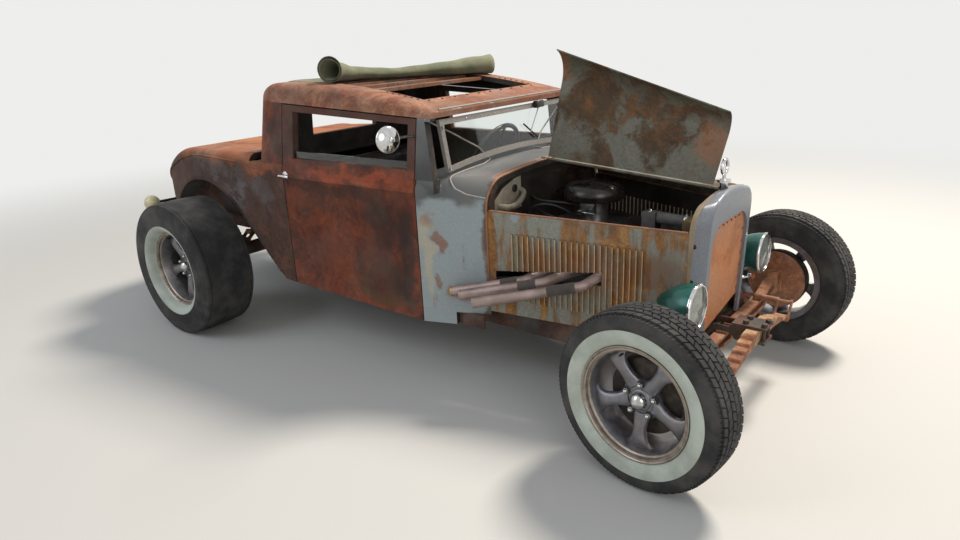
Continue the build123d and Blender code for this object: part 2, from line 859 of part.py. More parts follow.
def arch_face(x, w, side_z, corner, top_z, bottom, grow=0):
    slip = corner * (1 - sqrt(0.5))
    w = w + grow
    top = top_z + grow
    return outline("X", x, (-w, bottom), [
        (-w, side_z), ((-w + slip, side_z + corner - slip + grow), (-w + corner, side_z + corner + grow)),
        ((0, top), (w - corner, side_z + corner + grow)),
        ((w - slip, side_z + corner - slip + grow), (w, side_z)), (w, bottom)])


def make_cowl(cab):
    rear_side_z = cowl_rear_top_z - 84
    x0 = door_front_x

    def hull(grow, drop):
        return ruled([
            arch_face(x0, door_front_w, rear_side_z, 70, cowl_rear_top_z, body_bottom(x0) - drop, grow),
            arch_face(cowl_front_x, cowl_w, cowl_side_z, cowl_corner, cowl_top_z,
                      body_bottom(cowl_front_x) - drop, grow)])
    outer = hull(0, 0)
    firewall = outer & block(firewall_x - firewall_t, firewall_x, -800, 800, firewall_low, 1200)
    whole = outer - hull(-cowl_wall, 80) + firewall
    whole = whole - block(outrigger_x, cowl_front_x + 10, -800, 800, 100, outrigger_top)
    pillars = cab & prism("Y", -800, 800, (x0, belt_z - 5), (x0, drip_z(x0)), (header_x + 60, drip_z(header_x + 60)),
                          (header_x + 60, belt_z - 5))
    for side in (1, -1):
        keep = block(x0, header_x + 60, side * pillar_in, side * 700, belt_z - 5, 1400)
        foot = block(x0, pillar_foot_x, side * (side_w(x0) - 55), side * (side_w(x0) - 12), rear_side_z, belt_z + 1)
        whole = whole + (pillars & keep) + foot
    return whole


def make_windshield(roof):
    # The frame hangs from the header, and its lower edge is bowed over the cowl's crown.
    place = Pos(header_x - 14, 0, header_z) * Rot(0, windshield_tilt, 0)

    def sheet(t, inset):
        half = windshield_half - inset
        low = inset - windshield_h
        return prism("X", -t / 2, t / 2, (-half, -inset), (half, -inset), (half, low),
                     ((0, low + windshield_bow), (-half, low)))
    pane = sheet(5, 20)
    return place * (sheet(18, 0) - sheet(30, 24) - pane) - roof, place * pane


# Hood and radiator

def hood_arch(x, grow):
    share = (x - cowl_front_x) / (shell_x - cowl_front_x)

    def mix(a, b):
        return a + (b - a) * share
    return (mix(cowl_w, shell_w) + grow, mix(cowl_side_z, shell_side_z), mix(cowl_corner, shell_corner),
            mix(hood_hinge_rear_z, hood_hinge_front_z) - 2 + grow)


def hood_sheet(x, side):
    # The closed top panel's section: from beside the hinge to the side sheet's upper edge.
    w, side_z, corner, top = hood_arch(x, 0)
    slip = corner * (1 - sqrt(0.5))
    t = hood_t
    edge = 10
    return outline("X", x, (side * edge, top), [
        (side * (w - corner), side_z + corner), ((side * (w - slip), side_z + corner - slip), (side * w, side_z + 6)),
        (side * (w - t), side_z + 6),
        ((side * (w - slip - t * 0.7), side_z + corner - slip - t * 0.7), (side * (w - corner), side_z + corner - t)),
        (side * edge, top - t)])


hood_rear_x = cowl_front_x + seam_gap
hood_front_x = shell_x - seam_gap


def make_hood_top(side):
    # The front edge runs back towards the hinge.
    ahead = prism("Z", 600, 1100, (hood_front_x - hood_slant, 0), (hood_front_x, side * shell_w),
                  (shell_x, side * shell_w), (shell_x, 0))
    return ruled([hood_sheet(hood_rear_x, side), hood_sheet(hood_front_x, side)]) - ahead


hinge_slope = (hood_hinge_front_z - hood_hinge_rear_z) / (shell_x - cowl_front_x)
hinge_axis = Axis((cowl_front_x, 0, hood_hinge_rear_z), (1, 0, hinge_slope))


def make_hood_hinge(cowl, shell):
    # The fixed tube on which both top panels turn.
    def on_line(x):
        return (x, 0, hood_hinge_rear_z + hinge_slope * (x - cowl_front_x))
    return rod(on_line(cowl_front_x - 30), on_line(cap_x - 18), hood_hinge_r) - cowl - shell


hood_run = hypot(shell_x - cowl_front_x, shell_w - cowl_w)
louver_count = 1 + int((hood_run - louver_first - louver_last) / louver_pitch)


def port_x(share):
    return engine_rear_x + share * (engine_front_x - engine_rear_x)


def run_to(x):
    # How far along the hood's side sheet a place is.
    return (x - cowl_front_x) * hood_run / (shell_x - cowl_front_x)


pipe_slot_end = run_to(port_x(exhaust_rows[0][0])) + pipe_slot_ahead


def along(rear, front, u):
    # A height on the hood's side sheet, u along it from the cowl.
    return rear + (front - rear) * u / hood_run


def slot_z(u):
    return along(pipe_slot_rear_z, pipe_slot_front_z, u)


def make_hood_side(side):
    # A flat sheet from cowl to shell, with pressed louvers and a slot for the exhaust pipes.
    end = hood_run + 1

    def low(u):
        return along(hood_rear_bottom, hood_front_bottom, u)

    def high(u):
        return along(cowl_side_z - 2, shell_side_z - 2, u)
    sheet = prism("Y", -hood_t, 0, (0, low(0)), (0, high(0)), (end, high(end)), (end, low(end)))
    for k in range(louver_count):
        u = louver_first + k * louver_pitch
        top = high(u) - louver_top_drop
        foot = low(u) + louver_foot_rise
        w = louver_w
        sheet = sheet - block(u, u + w, -20, 20, foot, top)
        sheet = sheet + prism("Z", foot, top, (u - w + 1, -1), (u + w, w), (u + w, w - 2), (u - w + 5, -1))
    h = pipe_slot_h / 2
    u0 = pipe_slot_start
    u1 = pipe_slot_end
    sheet = sheet - prism("Y", -20, 20, (u0, slot_z(u0) - h), (u0, slot_z(u0) + h),
                          (u1, slot_z(u1) + h), (u1, slot_z(u1) - h))
    if side == -1:
        sheet = sheet.mirror(Plane.XZ)
    turn = degrees(atan2(side * (shell_w - cowl_w), shell_x - cowl_front_x))
    return Pos(cowl_front_x, side * cowl_w, 0) * Rot(0, 0, turn) * sheet


def lean(piece):
    return Pos(shell_x, 0, shell_side_z) * Rot(0, shell_lean_deg, 0) * Pos(-shell_x, 0, -shell_side_z) * piece


shell_face_x = shell_x + shell_depth
shell_foot = front_cross_top


def make_shell():
    low = shell_foot - 40

    def hull(grow, x_low, x_high):
        return ruled([
            arch_face(x_low, shell_w, shell_side_z, shell_corner, shell_top_z, low - 10, grow),
            arch_face(x_high, shell_face_w, shell_side_z + 14, shell_corner, shell_face_top, low - 10, grow)])
    outer = hull(0, shell_x, shell_face_x)
    front = [e for e in outer.edges() if e.center().X > shell_face_x - 1 and e.center().Z > low + 20]
    outer = outer.fillet(14, front)
    inner = hull(-shell_wall, shell_x - 0.1, shell_face_x - 12)
    mouth = shell_face_w - shell_mouth
    opening = prism("X", shell_x, shell_face_x + 20, (7 - mouth, low - 40), (-mouth, 700),
                    ((43 - mouth, 764), (113 - mouth, 778)), (mouth - 113, 778),
                    ((mouth - 43, 764), (mouth, 700)), (mouth - 7, low - 40))
    whole = lean(outer - inner - opening)
    return whole - block(shell_x - 100, shell_face_x + 100, -400, 400, low - 120, shell_foot)


def make_grille():
    x1 = shell_face_x - 12
    w = shell_face_w - shell_mouth + 8
    return lean(prism("X", x1 - insert_t, x1, (7 - w, 335), (-w, 702), ((45 - w, 774), (121 - w, 788)),
                      (w - 121, 788), ((w - 45, 774), (w, 702)), (w - 7, 400)))


def make_core():
    return block(shell_x - core_t - 4, shell_x - 4, -core_half, core_half, shell_foot, core_top)


def make_cap(shell):
    z = shell_face_top
    pieces = [rod((cap_x, 0, z - 30), (cap_x, 0, z + 20), 16), rod((cap_x, 0, z + 8), (cap_x, 0, z + 18), 26)]
    pieces.append(rod((cap_x, 0, z + 16), (cap_x, 0, z + 43), 7))
    ring = Pos(cap_x, 0, z + 67) * Rot(0, 90, 0) * Torus(28, 7)
    return joined(pieces + [ring]) - shell


# Engine bay

def make_engine(frame):
    x0 = engine_rear_x
    x1 = engine_front_x
    whole = prism("X", x0, x1, (-135, engine_low), (-150, 470), (-235, 560), (-190, engine_high - 10),
                  (-80, engine_high - 40), (80, engine_high - 40), (190, engine_high - 10), (235, 560),
                  (150, 470), (135, engine_low))
    whole = whole + ruled([
        outline("X", x, (-w, engine_low), [(-w, top), (w, top), (w, engine_low)])
        for x, w, top in ((x0 + 1, 150, 440), (1560, 85, 355), (gearbox_x, 52, 340))])
    whole = whole + block(x1 - 90, x1 - 30, -80, -20, engine_high - 60, hose_z + 25)
    for side in (1, -1):
        mount_x = x1 - 260
        out = side * (rail_y(mount_x) - 12)
        whole = whole + block(mount_x - 30, mount_x + 30, side * 130, out, rail_top(mount_x) - 4, rail_top(mount_x) + 10)
    return whole - frame


def make_carburettor():
    low = engine_high - 40
    whole = block(cleaner_x - 150, cleaner_x + 150, -70, 70, low, low + 50)
    return whole + rod((cleaner_x, 0, low + 50), (cleaner_x, 0, cleaner_low), 58)


def make_air_cleaner():
    # A low drum with a rounded shoulder under a flat crown.
    r = cleaner_r
    high = cleaner_high
    half = outline("Y", 0, (0, cleaner_low), [
        (r - 8, cleaner_low), (r, cleaner_low + 8), (r, high - 50), ((r - 12, high - 24), (r - 42, high - 10)),
        (24, high), (0, high)])
    return Pos(cleaner_x, 0, 0) * revolve(half, Axis.Z)


def make_hose():
    return rod((engine_front_x - 30, -50, hose_z), (shell_x - core_t - 4, -50, hose_z), 23)


def exhaust_points(side, row):
    # From inside the engine's flank through the hood's slot to the elbow, then back to the open end.
    share, reach, drop, back, tip_y, tip_z = row
    x = port_x(share)
    z = slot_z(run_to(x))
    out = hood_y(x)
    return [(x + (out - 200) / 3, side * 200, z), (x, side * (out - 12), z),
            (x - reach / 3, side * (out + reach), z - drop), (x - back, side * tip_y, tip_z)]


def make_exhaust(engine):
    pieces = []
    for side in (1, -1):
        for row in exhaust_rows:
            path = FilletPolyline(*exhaust_points(side, row), radius=[30, elbow_r])
            pipe = sweep(Plane(origin=path @ 0, z_dir=path % 0) * Circle(pipe_r), path)
            end = Plane(origin=path @ 1, z_dir=path % 1)
            bore = Cylinder(pipe_r - pipe_wall, 130, align=(Align.CENTER, Align.CENTER, Align.MIN))
            pieces.append(pipe - end * Pos(0, 0, -120) * bore)
    return joined(pieces) - engine


# Inside and floor

def make_floor():
    t = floor_t
    back = cab_back_x + body_wall
    post = door_rear_x - seam_gap
    wide = door_rear_w - body_wall
    front = floor_front_x
    edge = [(back, wide), (post, wide), (post, wide - seam_gap),
            (door_front_x, side_w(door_front_x) - body_wall - seam_gap),
            (door_front_x, cowl_y(door_front_x) - cowl_wall), (front, cowl_y(front) - cowl_wall)]
    plan = prism("Z", 0, 1000, *edge, *[(x, -y) for x, y in reversed(edge)])
    deck = prism("Y", -800, 800, (back, rail_top(back) + 0.01), (back, rail_top(back) + t),
                 (front, rail_top(front) + t), (front, rail_top(front) + 0.01))
    toe_x = firewall_x - firewall_t
    toe_z = firewall_low + 4
    toe_board = prism("Y", -400, 400, (front - 2, rail_top(front)), (front - 2, rail_top(front) + t),
                      (toe_x - t, toe_z), (toe_x, toe_z), (toe_x, toe_z - 5))
    flange = block(toe_x - t, toe_x, -400, 400, toe_z - 4, toe_z + 12)
    wall = block(back, back + t, -wide, wide, rail_top(back), kick_top + t)
    trunk_w = well_y - well_wall
    trunk = block(tail_x, back + t, -trunk_w, trunk_w, kick_top, kick_top + t) & tub_solid(-body_wall, 60)
    whole = joined([deck & plan, toe_board, flange, wall, trunk])
    for side in (1, -1):
        whole = whole - arch_tool(well_wall, side * trunk_w, side * 800)
    return whole


def make_seat():
    def on_floor(x):
        return (x, rail_top(x) + floor_t)
    front = 1010
    rear = cab_back_x + body_wall + 20
    base = rail_top(front) + floor_t
    return prism("Y", -seat_half, seat_half, on_floor(rear + 36), on_floor(front), (front + 10, base + 150),
                 ((front - 60, base + 185), (720, base + 165)), (600, 900), ((560, 925), (520, 900)),
                 (rear + 30, 600))


def make_steering():
    # A four-spoke wheel on a column that ends at the firewall.
    centre = Vector(steering_x, steering_y, steering_z)
    foot = Vector(firewall_x + 36, steering_y, column_foot_z)
    plane = Plane(origin=centre, z_dir=foot - centre)
    wheel = Torus(steering_r, 12)
    for turn in range(0, 360, 90):
        wheel = wheel + Rot(0, 0, turn) * Pos(steering_r / 2 + 5, 0, 0) * Box(steering_r - 14, 16, 8)
    wheel = wheel + Cylinder(34, 30)
    column = rod(tuple(centre), tuple(foot), 18) & block(0, firewall_x - firewall_t, 0, 800, 400, 1200)
    return plane * wheel + column


def make_roof_slats():
    pieces = []
    for x in slat_rows:
        z = roof_top(x) - 16
        pieces.append(block(x - slat_half, x + slat_half, -roof_hole_y, roof_hole_y, z - 8, z + 8))
    return joined(pieces)


def make_canvas():
    # The rolled roof covering lies across the back of the roof.
    return rod(*[(x, y, roof_top(x) + canvas_r + 2) for x, y in canvas_ends], canvas_r)


# Lamps

def make_headlamps(frame, crossmember):
    pieces = []
    back_x = lamp_x + 60
    for side in (1, -1):
        bucket = Plane(origin=(back_x, side * lamp_y, lamp_z), z_dir=(-1, 0, 0))
        shape = outline("Y", 0, (0, 0), [(lamp_r - 4, 0), ((lamp_r - 16, 70), (26, lamp_len)), (0, lamp_len)])
        rim = Pos(0, 0, -4) * Cylinder(lamp_r, 12)
        rim = rim - Pos(0, 0, -7) * Cylinder(lamp_r - 10, 6.2)
        foot_x = lamp_x - 55
        foot = (foot_x, side * 325, rail_top(foot_x) + 25)
        pieces.append(bucket * (revolve(shape, Axis.Z) + rim))
        pieces.append(rod((lamp_x - 30, side * lamp_y, lamp_z - 60), foot, 13))
        pieces.append(Pos(*foot) * Sphere(13))
        pieces.append(rod((foot_x, side * 325, rail_top(foot_x) - 4), foot, 13))
    return joined(pieces) - frame - crossmember


def make_lenses():
    pieces = []
    for side in (1, -1):
        face = Pos(lamp_x + 60 + 3.9, side * lamp_y, lamp_z) * Rot(0, 90, 0)
        pieces.append(face * Cylinder(lamp_r - 10, 5, align=(Align.CENTER, Align.CENTER, Align.MIN)))
    return joined(pieces)


def make_small_lamps(shell, rear_body):
    pieces = []
    for side in (1, -1):
        pieces.append(Pos(shell_face_x + 8, side * 275, marker_z) * Sphere(16))
        pieces.append(rod((shell_x + 30, side * 240, marker_z - 5), (shell_face_x, side * 275, marker_z), 6))
        pieces.append(Pos(tail_lamp_x, side * tail_lamp_y, tail_lamp_z) * Sphere(tail_lamp_r))
        pieces.append(rod((tail_lamp_x, side * 520, tail_lamp_z - 4), (tail_lamp_x, side * 680, tail_lamp_z), 9))
    return joined(pieces) - shell - rear_body


tub = make_tub()
cab = make_cab_shell()
frame = make_frame()
front_crossmember = make_front_crossmember()
engine = make_engine(frame)
cowl = make_cowl(cab)
roof = make_roof(cab)
shell = make_shell()
rear_body = make_rear_body(tub)
door_right = make_door(cab, -1)
windshield_frame, windshield_glass = make_windshield(roof)
hood_sides = joined([make_hood_side(side) for side in (1, -1)]) - shell - cowl

nodes = {
    "frame": frame,
    "front_crossmember": front_crossmember,
    "leaf_springs": make_springs(),
    "front_axle": make_front_axle(),
    "rear_axle": make_rear_axle(),
    "knuckle_left": make_knuckle(1),
    "knuckle_right": make_knuckle(-1),
    "tie_rod": make_tie_rod(),
    "front_wheel_left": make_front_wheel(1),
    "front_wheel_right": make_front_wheel(-1),
    "front_tyre_left": make_front_tyre(1),
    "front_tyre_right": make_front_tyre(-1),
    "engine_block": engine,
    "carburettor": make_carburettor(),
    "air_cleaner": make_air_cleaner(),
    "radiator_hose": make_hose(),
    "radiator_core": make_core(),
    "radiator_shell": shell,
    "grille_insert": make_grille(),
    "radiator_cap": make_cap(shell),
    "exhaust_pipes": make_exhaust(engine),
    "hood_sides": hood_sides,
    "hood_hinge": make_hood_hinge(cowl, shell),
    "hood_top_left": make_hood_top(1),
    "hood_top_right": make_hood_top(-1).rotate(hinge_axis, -hood_open_deg),
    "cowl": cowl,
    "windshield_frame": windshield_frame,
    "windshield_glass": windshield_glass,
    "door_left": make_door(cab, 1),
    "door_right": door_right,
    "door_glass_right": make_door_glass(-1),
    "mirror": make_mirror(door_right),
    "rear_body": rear_body,
    "deck_lid": make_deck_lid(tub),
    "cab_rear": make_cab_rear(cab),
    "roof": roof,
    "roof_slats": make_roof_slats(),
    "roof_canvas": make_canvas(),
    "floor": make_floor(),
    "seat": make_seat(),
    "steering_wheel": make_steering(),
    "headlamps": make_headlamps(frame, front_crossmember),
    "headlamp_lenses": make_lenses(),
    "small_lamps": make_small_lamps(shell, rear_body),
}
for side, word in ((1, "left"), (-1, "right")):
    wheel = make_wheel(side, rear_rim_w, 14, -100, rear_spindle_r + running_gap)
    tyre = make_tyre(side, rear_tyre_r, rear_tyre_w, rear_tread_w, rear_rim_w)
    nodes["rear_wheel_" + word] = at_rear(side, wheel)
    nodes["rear_tyre_" + word] = at_rear(side, tyre)

boxes = [piece.bounding_box() for piece in nodes.values()]
middle_x = (min(b.min.X for b in boxes) + max(b.max.X for b in boxes)) / 2
for name, piece in nodes.items():
    export_step(Pos(-middle_x, 0, 0) * piece, "parts/" + name + ".step")
print("origin is", round(middle_x, 3), "mm ahead of the rear axle")
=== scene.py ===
import json
from math import atan2, cos, hypot, pi, radians, sin, sqrt

import bmesh
import bpy
from mathutils import Matrix, Vector, noise
from mathutils.bvhtree import BVHTree


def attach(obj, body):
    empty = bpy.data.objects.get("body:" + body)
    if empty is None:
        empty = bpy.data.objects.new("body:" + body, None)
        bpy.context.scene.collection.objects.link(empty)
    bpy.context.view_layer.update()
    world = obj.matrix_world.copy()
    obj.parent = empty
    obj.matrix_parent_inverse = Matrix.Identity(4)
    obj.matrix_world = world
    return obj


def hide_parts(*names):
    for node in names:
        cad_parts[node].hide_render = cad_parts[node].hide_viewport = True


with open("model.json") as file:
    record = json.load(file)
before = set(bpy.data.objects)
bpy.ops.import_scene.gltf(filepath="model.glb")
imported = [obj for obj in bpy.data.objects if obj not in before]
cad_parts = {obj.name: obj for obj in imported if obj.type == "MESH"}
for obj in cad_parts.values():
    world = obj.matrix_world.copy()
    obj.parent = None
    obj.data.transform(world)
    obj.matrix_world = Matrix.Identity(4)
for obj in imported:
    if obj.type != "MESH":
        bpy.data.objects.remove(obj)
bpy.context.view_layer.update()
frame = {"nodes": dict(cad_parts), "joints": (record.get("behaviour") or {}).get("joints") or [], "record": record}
joints = {joint["name"]: joint for joint in frame["joints"]}
rearAxleX = joints["rear_spin_left"]["pos_m"][0]  # the car is measured forward from its rear axle


def at(x, y, z):
    return Vector((x + rearAxleX, y, z))


def mirrored(place, side):
    return at(place[0], side * place[1], place[2])


def between(first, last, share):
    return first + (last - first) * share


def tone(code):
    # A colour written as six hex digits, made linear.
    parts = [int(code[i:i + 2], 16) / 255 for i in (0, 2, 4)]
    return (*[part / 12.92 if part <= 0.04045 else ((part + 0.055) / 1.055) ** 2.4 for part in parts], 1)


# Camera, lights and floor

camera = {
    "place": (3.5293, -2.6581, 1.4998),  # metres from the rear axle
    "turn": 0.6812,
    "down": 0.329,
    "roll": -0.046,
    "lens": 26.006,
}


def makeCamera():
    bpy.context.scene.view_settings.view_transform = "Standard"
    data = bpy.data.cameras.new("photoCamera")
    data.lens = camera["lens"]
    data.sensor_width = 36
    eye = bpy.data.objects.new("photoCamera", data)
    bpy.context.scene.collection.objects.link(eye)
    turn, down, roll = camera["turn"], camera["down"], camera["roll"]
    ahead = Vector((-sin(turn) * cos(down), cos(turn) * cos(down), -sin(down)))
    right = ahead.cross(Vector((0, 0, 1))).normalized()
    up = right.cross(ahead)
    levelRight = right * cos(roll) + up * sin(roll)
    levelUp = up * cos(roll) - right * sin(roll)
    matrix = Matrix((levelRight, levelUp, -ahead)).transposed().to_4x4()
    matrix.translation = at(*camera["place"])
    eye.matrix_world = matrix
    bpy.context.scene.camera = eye


lamps = (  # place from the rear axle, aim, size, watts, colour
    ((3.2, 3.8, 7.2), (1.4, 0, 0.5), 2.2, 860, "fff6ea"),
    ((-1.6, -5.4, 4.6), (1.2, 0, 0.5), 4.6, 120, "eef3ff"),
    ((6.2, -3.2, 2.6), (2.2, -0.3, 0.5), 3.2, 60, "ffffff"),
)
surroundings = {"seen": "eeeeec", "light": "e4e8ec", "strength": 0.46}
floorLook = {"size": 80, "colour": "c9c8c4", "grain": 240, "fadeFrom": 2.6, "fadeTo": 7.5}


def makeLights():
    for place, aim, size, watts, colour in lamps:
        data = bpy.data.lights.new("softLamp", "AREA")
        data.shape = "DISK"
        data.size = size
        data.energy = watts
        data.color = tone(colour)[:3]
        lamp = bpy.data.objects.new("softLamp", data)
        bpy.context.scene.collection.objects.link(lamp)
        lamp.location = at(*place)
        lamp.rotation_mode = "QUATERNION"
        lamp.rotation_quaternion = (at(*aim) - at(*place)).to_track_quat("-Z", "Y")
    world = bpy.data.worlds.new("studio")
    bpy.context.scene.world = world
    world.use_nodes = True
    tree = world.node_tree
    tree.nodes.clear()
    seen = put(tree, "Background", {"Color": tone(surroundings["seen"]), "Strength": 1.0})
    light = put(tree, "Background", {"Color": tone(surroundings["light"]), "Strength": surroundings["strength"]})
    path = put(tree, "LightPath")
    glossy = sums(tree, "MAXIMUM", path.outputs["Is Camera Ray"], path.outputs["Is Glossy Ray"])
    clear = sums(tree, "MAXIMUM", glossy, path.outputs["Is Transmission Ray"])
    both = put(tree, "MixShader", {0: clear, 1: light.outputs[0], 2: seen.outputs[0]})
    out = put(tree, "OutputWorld")
    tree.links.new(both.outputs[0], out.inputs[0])


# Materials

def fill(tree, node, sockets):
    # Links or sets each of a node's inputs.
    for name, value in sockets.items():
        if isinstance(value, bpy.types.NodeSocket):
            tree.links.new(value, node.inputs[name])
        else:
            node.inputs[name].default_value = value


def put(tree, kind, sockets=None, **settings):
    node = tree.nodes.new("ShaderNode" + kind)
    for name, value in settings.items():
        setattr(node, name, value)
    fill(tree, node, sockets or {})
    return node


def blendColour(tree, share, first, second, mode="MIX"):
    node = put(tree, "Mix", {0: share, 6: first, 7: second}, data_type="RGBA", blend_type=mode)
    return node.outputs[2]


def blendValue(tree, share, first, second):
    return put(tree, "Mix", {0: share, 2: first, 3: second}, data_type="FLOAT").outputs[0]


def spread(tree, value, low, high, toLow=0.0, toHigh=1.0):
    node = put(tree, "MapRange", {0: value, 1: low, 2: high, 3: toLow, 4: toHigh}, interpolation_type="SMOOTHSTEP")
    return node.outputs[0]


def sums(tree, operation, first, second, clamp=False):
    return put(tree, "Math", {0: first, 1: second}, operation=operation, use_clamp=clamp).outputs[0]


def ramp(tree, value, *stops):
    node = put(tree, "ValToRGB", {0: value})
    marks = node.color_ramp.elements
    while len(marks) < len(stops):
        marks.new(0.5)
    for mark, (place, code) in zip(marks, stops):
        mark.position = place
        mark.color = tone(code)
    return node.outputs[0]


def noiseValue(tree, vector, scale, detail, rough=0.5, warp=0.0):
    return put(tree, "TexNoise", {"Vector": vector, "Scale": scale, "Detail": detail, "Roughness": rough,
                                  "Distortion": warp}).outputs[0]


def newGroup(name, inputs, outputs):
    # A shared effect: inputs and outputs are (name, kind, default) and (name, kind).
    group = bpy.data.node_groups.new(name, "ShaderNodeTree")
    for socketName, kind, value in inputs:
        socket = group.interface.new_socket(name=socketName, in_out="INPUT", socket_type="NodeSocket" + kind)
        if value is not None:
            socket.default_value = value
    for socketName, kind in outputs:
        group.interface.new_socket(name=socketName, in_out="OUTPUT", socket_type="NodeSocket" + kind)
    return group, group.nodes.new("NodeGroupInput").outputs, group.nodes.new("NodeGroupOutput")


def makeRustGroup():
    # Blotches that run down in streaks, a second deeper layer, and the pitting of the surface.
    group, given, out = newGroup("rustSpread", [
        ("Vector", "Vector", None), ("Scale", "Float", 4.0), ("Amount", "Float", 0.5), ("Streaks", "Float", 0.3),
    ], [("Rust", "Float"), ("Deep", "Float"), ("Mottle", "Float"), ("Height", "Float")])
    long = put(group, "Mapping", {"Vector": given["Vector"], "Scale": (1.0, 1.0, 0.16)}).outputs[0]
    streakScale = sums(group, "MULTIPLY", given["Scale"], 3.2)
    fineScale = sums(group, "MULTIPLY", given["Scale"], 16.0)
    blot = noiseValue(group, given["Vector"], given["Scale"], 8.0, 0.66, 0.35)
    streak = noiseValue(group, long, streakScale, 6.0, 0.6)
    fine = noiseValue(group, given["Vector"], fineScale, 5.0, 0.75)
    both = blendValue(group, given["Streaks"], blot, streak)
    rough = blendValue(group, 0.22, both, fine)
    level = sums(group, "MULTIPLY_ADD", given["Amount"], -0.5)
    level.node.inputs[2].default_value = 0.75
    above = sums(group, "SUBTRACT", rough, level)
    rust = spread(group, above, -0.02, 0.05)
    shifted = put(group, "Mapping", {"Vector": given["Vector"], "Location": (3.1, 1.7, 5.3)}).outputs[0]
    deepScale = sums(group, "MULTIPLY", given["Scale"], 1.9)
    deepNoise = noiseValue(group, shifted, deepScale, 8.0, 0.7, 0.6)
    deep = blendValue(group, 0.35, deepNoise, fine)
    pits = noiseValue(group, given["Vector"], 170.0, 4.0, 0.7)
    edge = sums(group, "MULTIPLY", rust, 0.5)
    height = sums(group, "MULTIPLY_ADD", sums(group, "MULTIPLY", pits, rust), 0.8)
    group.links.new(edge, height.node.inputs[2])
    for name, value in (("Rust", rust), ("Deep", deep), ("Mottle", fine), ("Height", height)):
        group.links.new(value, out.inputs[name])
    return group


def makePatchGroup():
    # One oval patch: 1 inside, 0 outside, with an edge that is Soft wide.
    group, given, out = newGroup("patch", [
        ("Vector", "Vector", None), ("Centre", "Vector", (0, 0, 0)), ("Radii", "Vector", (1, 1, 1)),
        ("Soft", "Float", 0.3)], [("Mask", "Float")])
    away = put(group, "VectorMath", {0: given["Vector"], 1: given["Centre"]}, operation="SUBTRACT").outputs[0]
    share = put(group, "VectorMath", {0: away, 1: given["Radii"]}, operation="DIVIDE").outputs[0]
    far = put(group, "VectorMath", {0: share}, operation="LENGTH").outputs["Value"]
    start = sums(group, "SUBTRACT", 1.0, given["Soft"])
    mask = put(group, "MapRange", {0: far, 1: start, 2: 1.0, 3: 1.0, 4: 0.0}, interpolation_type="SMOOTHSTEP")
    group.links.new(mask.outputs[0], out.inputs["Mask"])
    return group


def makeDustGroup():
    # Fine dust and grease: a slow cloud broken by fine grain.
    group, given, out = newGroup("grime", [
        ("Vector", "Vector", None), ("Scale", "Float", 6.0), ("Amount", "Float", 0.5),
    ], [("Mask", "Float"), ("Grain", "Float")])
    cloud = noiseValue(group, given["Vector"], given["Scale"], 6.0, 0.6)
    grain = noiseValue(group, given["Vector"], 320.0, 3.0, 0.6)
    both = sums(group, "MULTIPLY", spread(group, cloud, 0.36, 0.68), sums(group, "ADD", grain, 0.4))
    mask = sums(group, "MULTIPLY", both, given["Amount"], clamp=True)
    group.links.new(mask, out.inputs["Mask"])
    group.links.new(grain, out.inputs["Grain"])
    return group


rustGroup = makeRustGroup()
patchGroup = makePatchGroup()
dustGroup = makeDustGroup()


def useGroup(tree, group, **sockets):
    node = tree.nodes.new("ShaderNodeGroup")
    node.node_tree = group
    fill(tree, node, sockets)
    return node.outputs


def newMaterial(name):
    material = bpy.data.materials.new(name)
    material.use_nodes = True
    tree = material.node_tree
    tree.nodes.clear()
    shader = put(tree, "BsdfPrincipled")
    out = put(tree, "OutputMaterial")
    tree.links.new(shader.outputs[0], out.inputs[0])
    coords = put(tree, "TexCoord").outputs["Object"]
    return material, tree, shader, coords


def addBump(tree, shader, height, distance, strength=1.0):
    bump = put(tree, "Bump", {"Height": height, "Distance": distance, "Strength": strength})
    tree.links.new(bump.outputs[0], shader.inputs["Normal"])


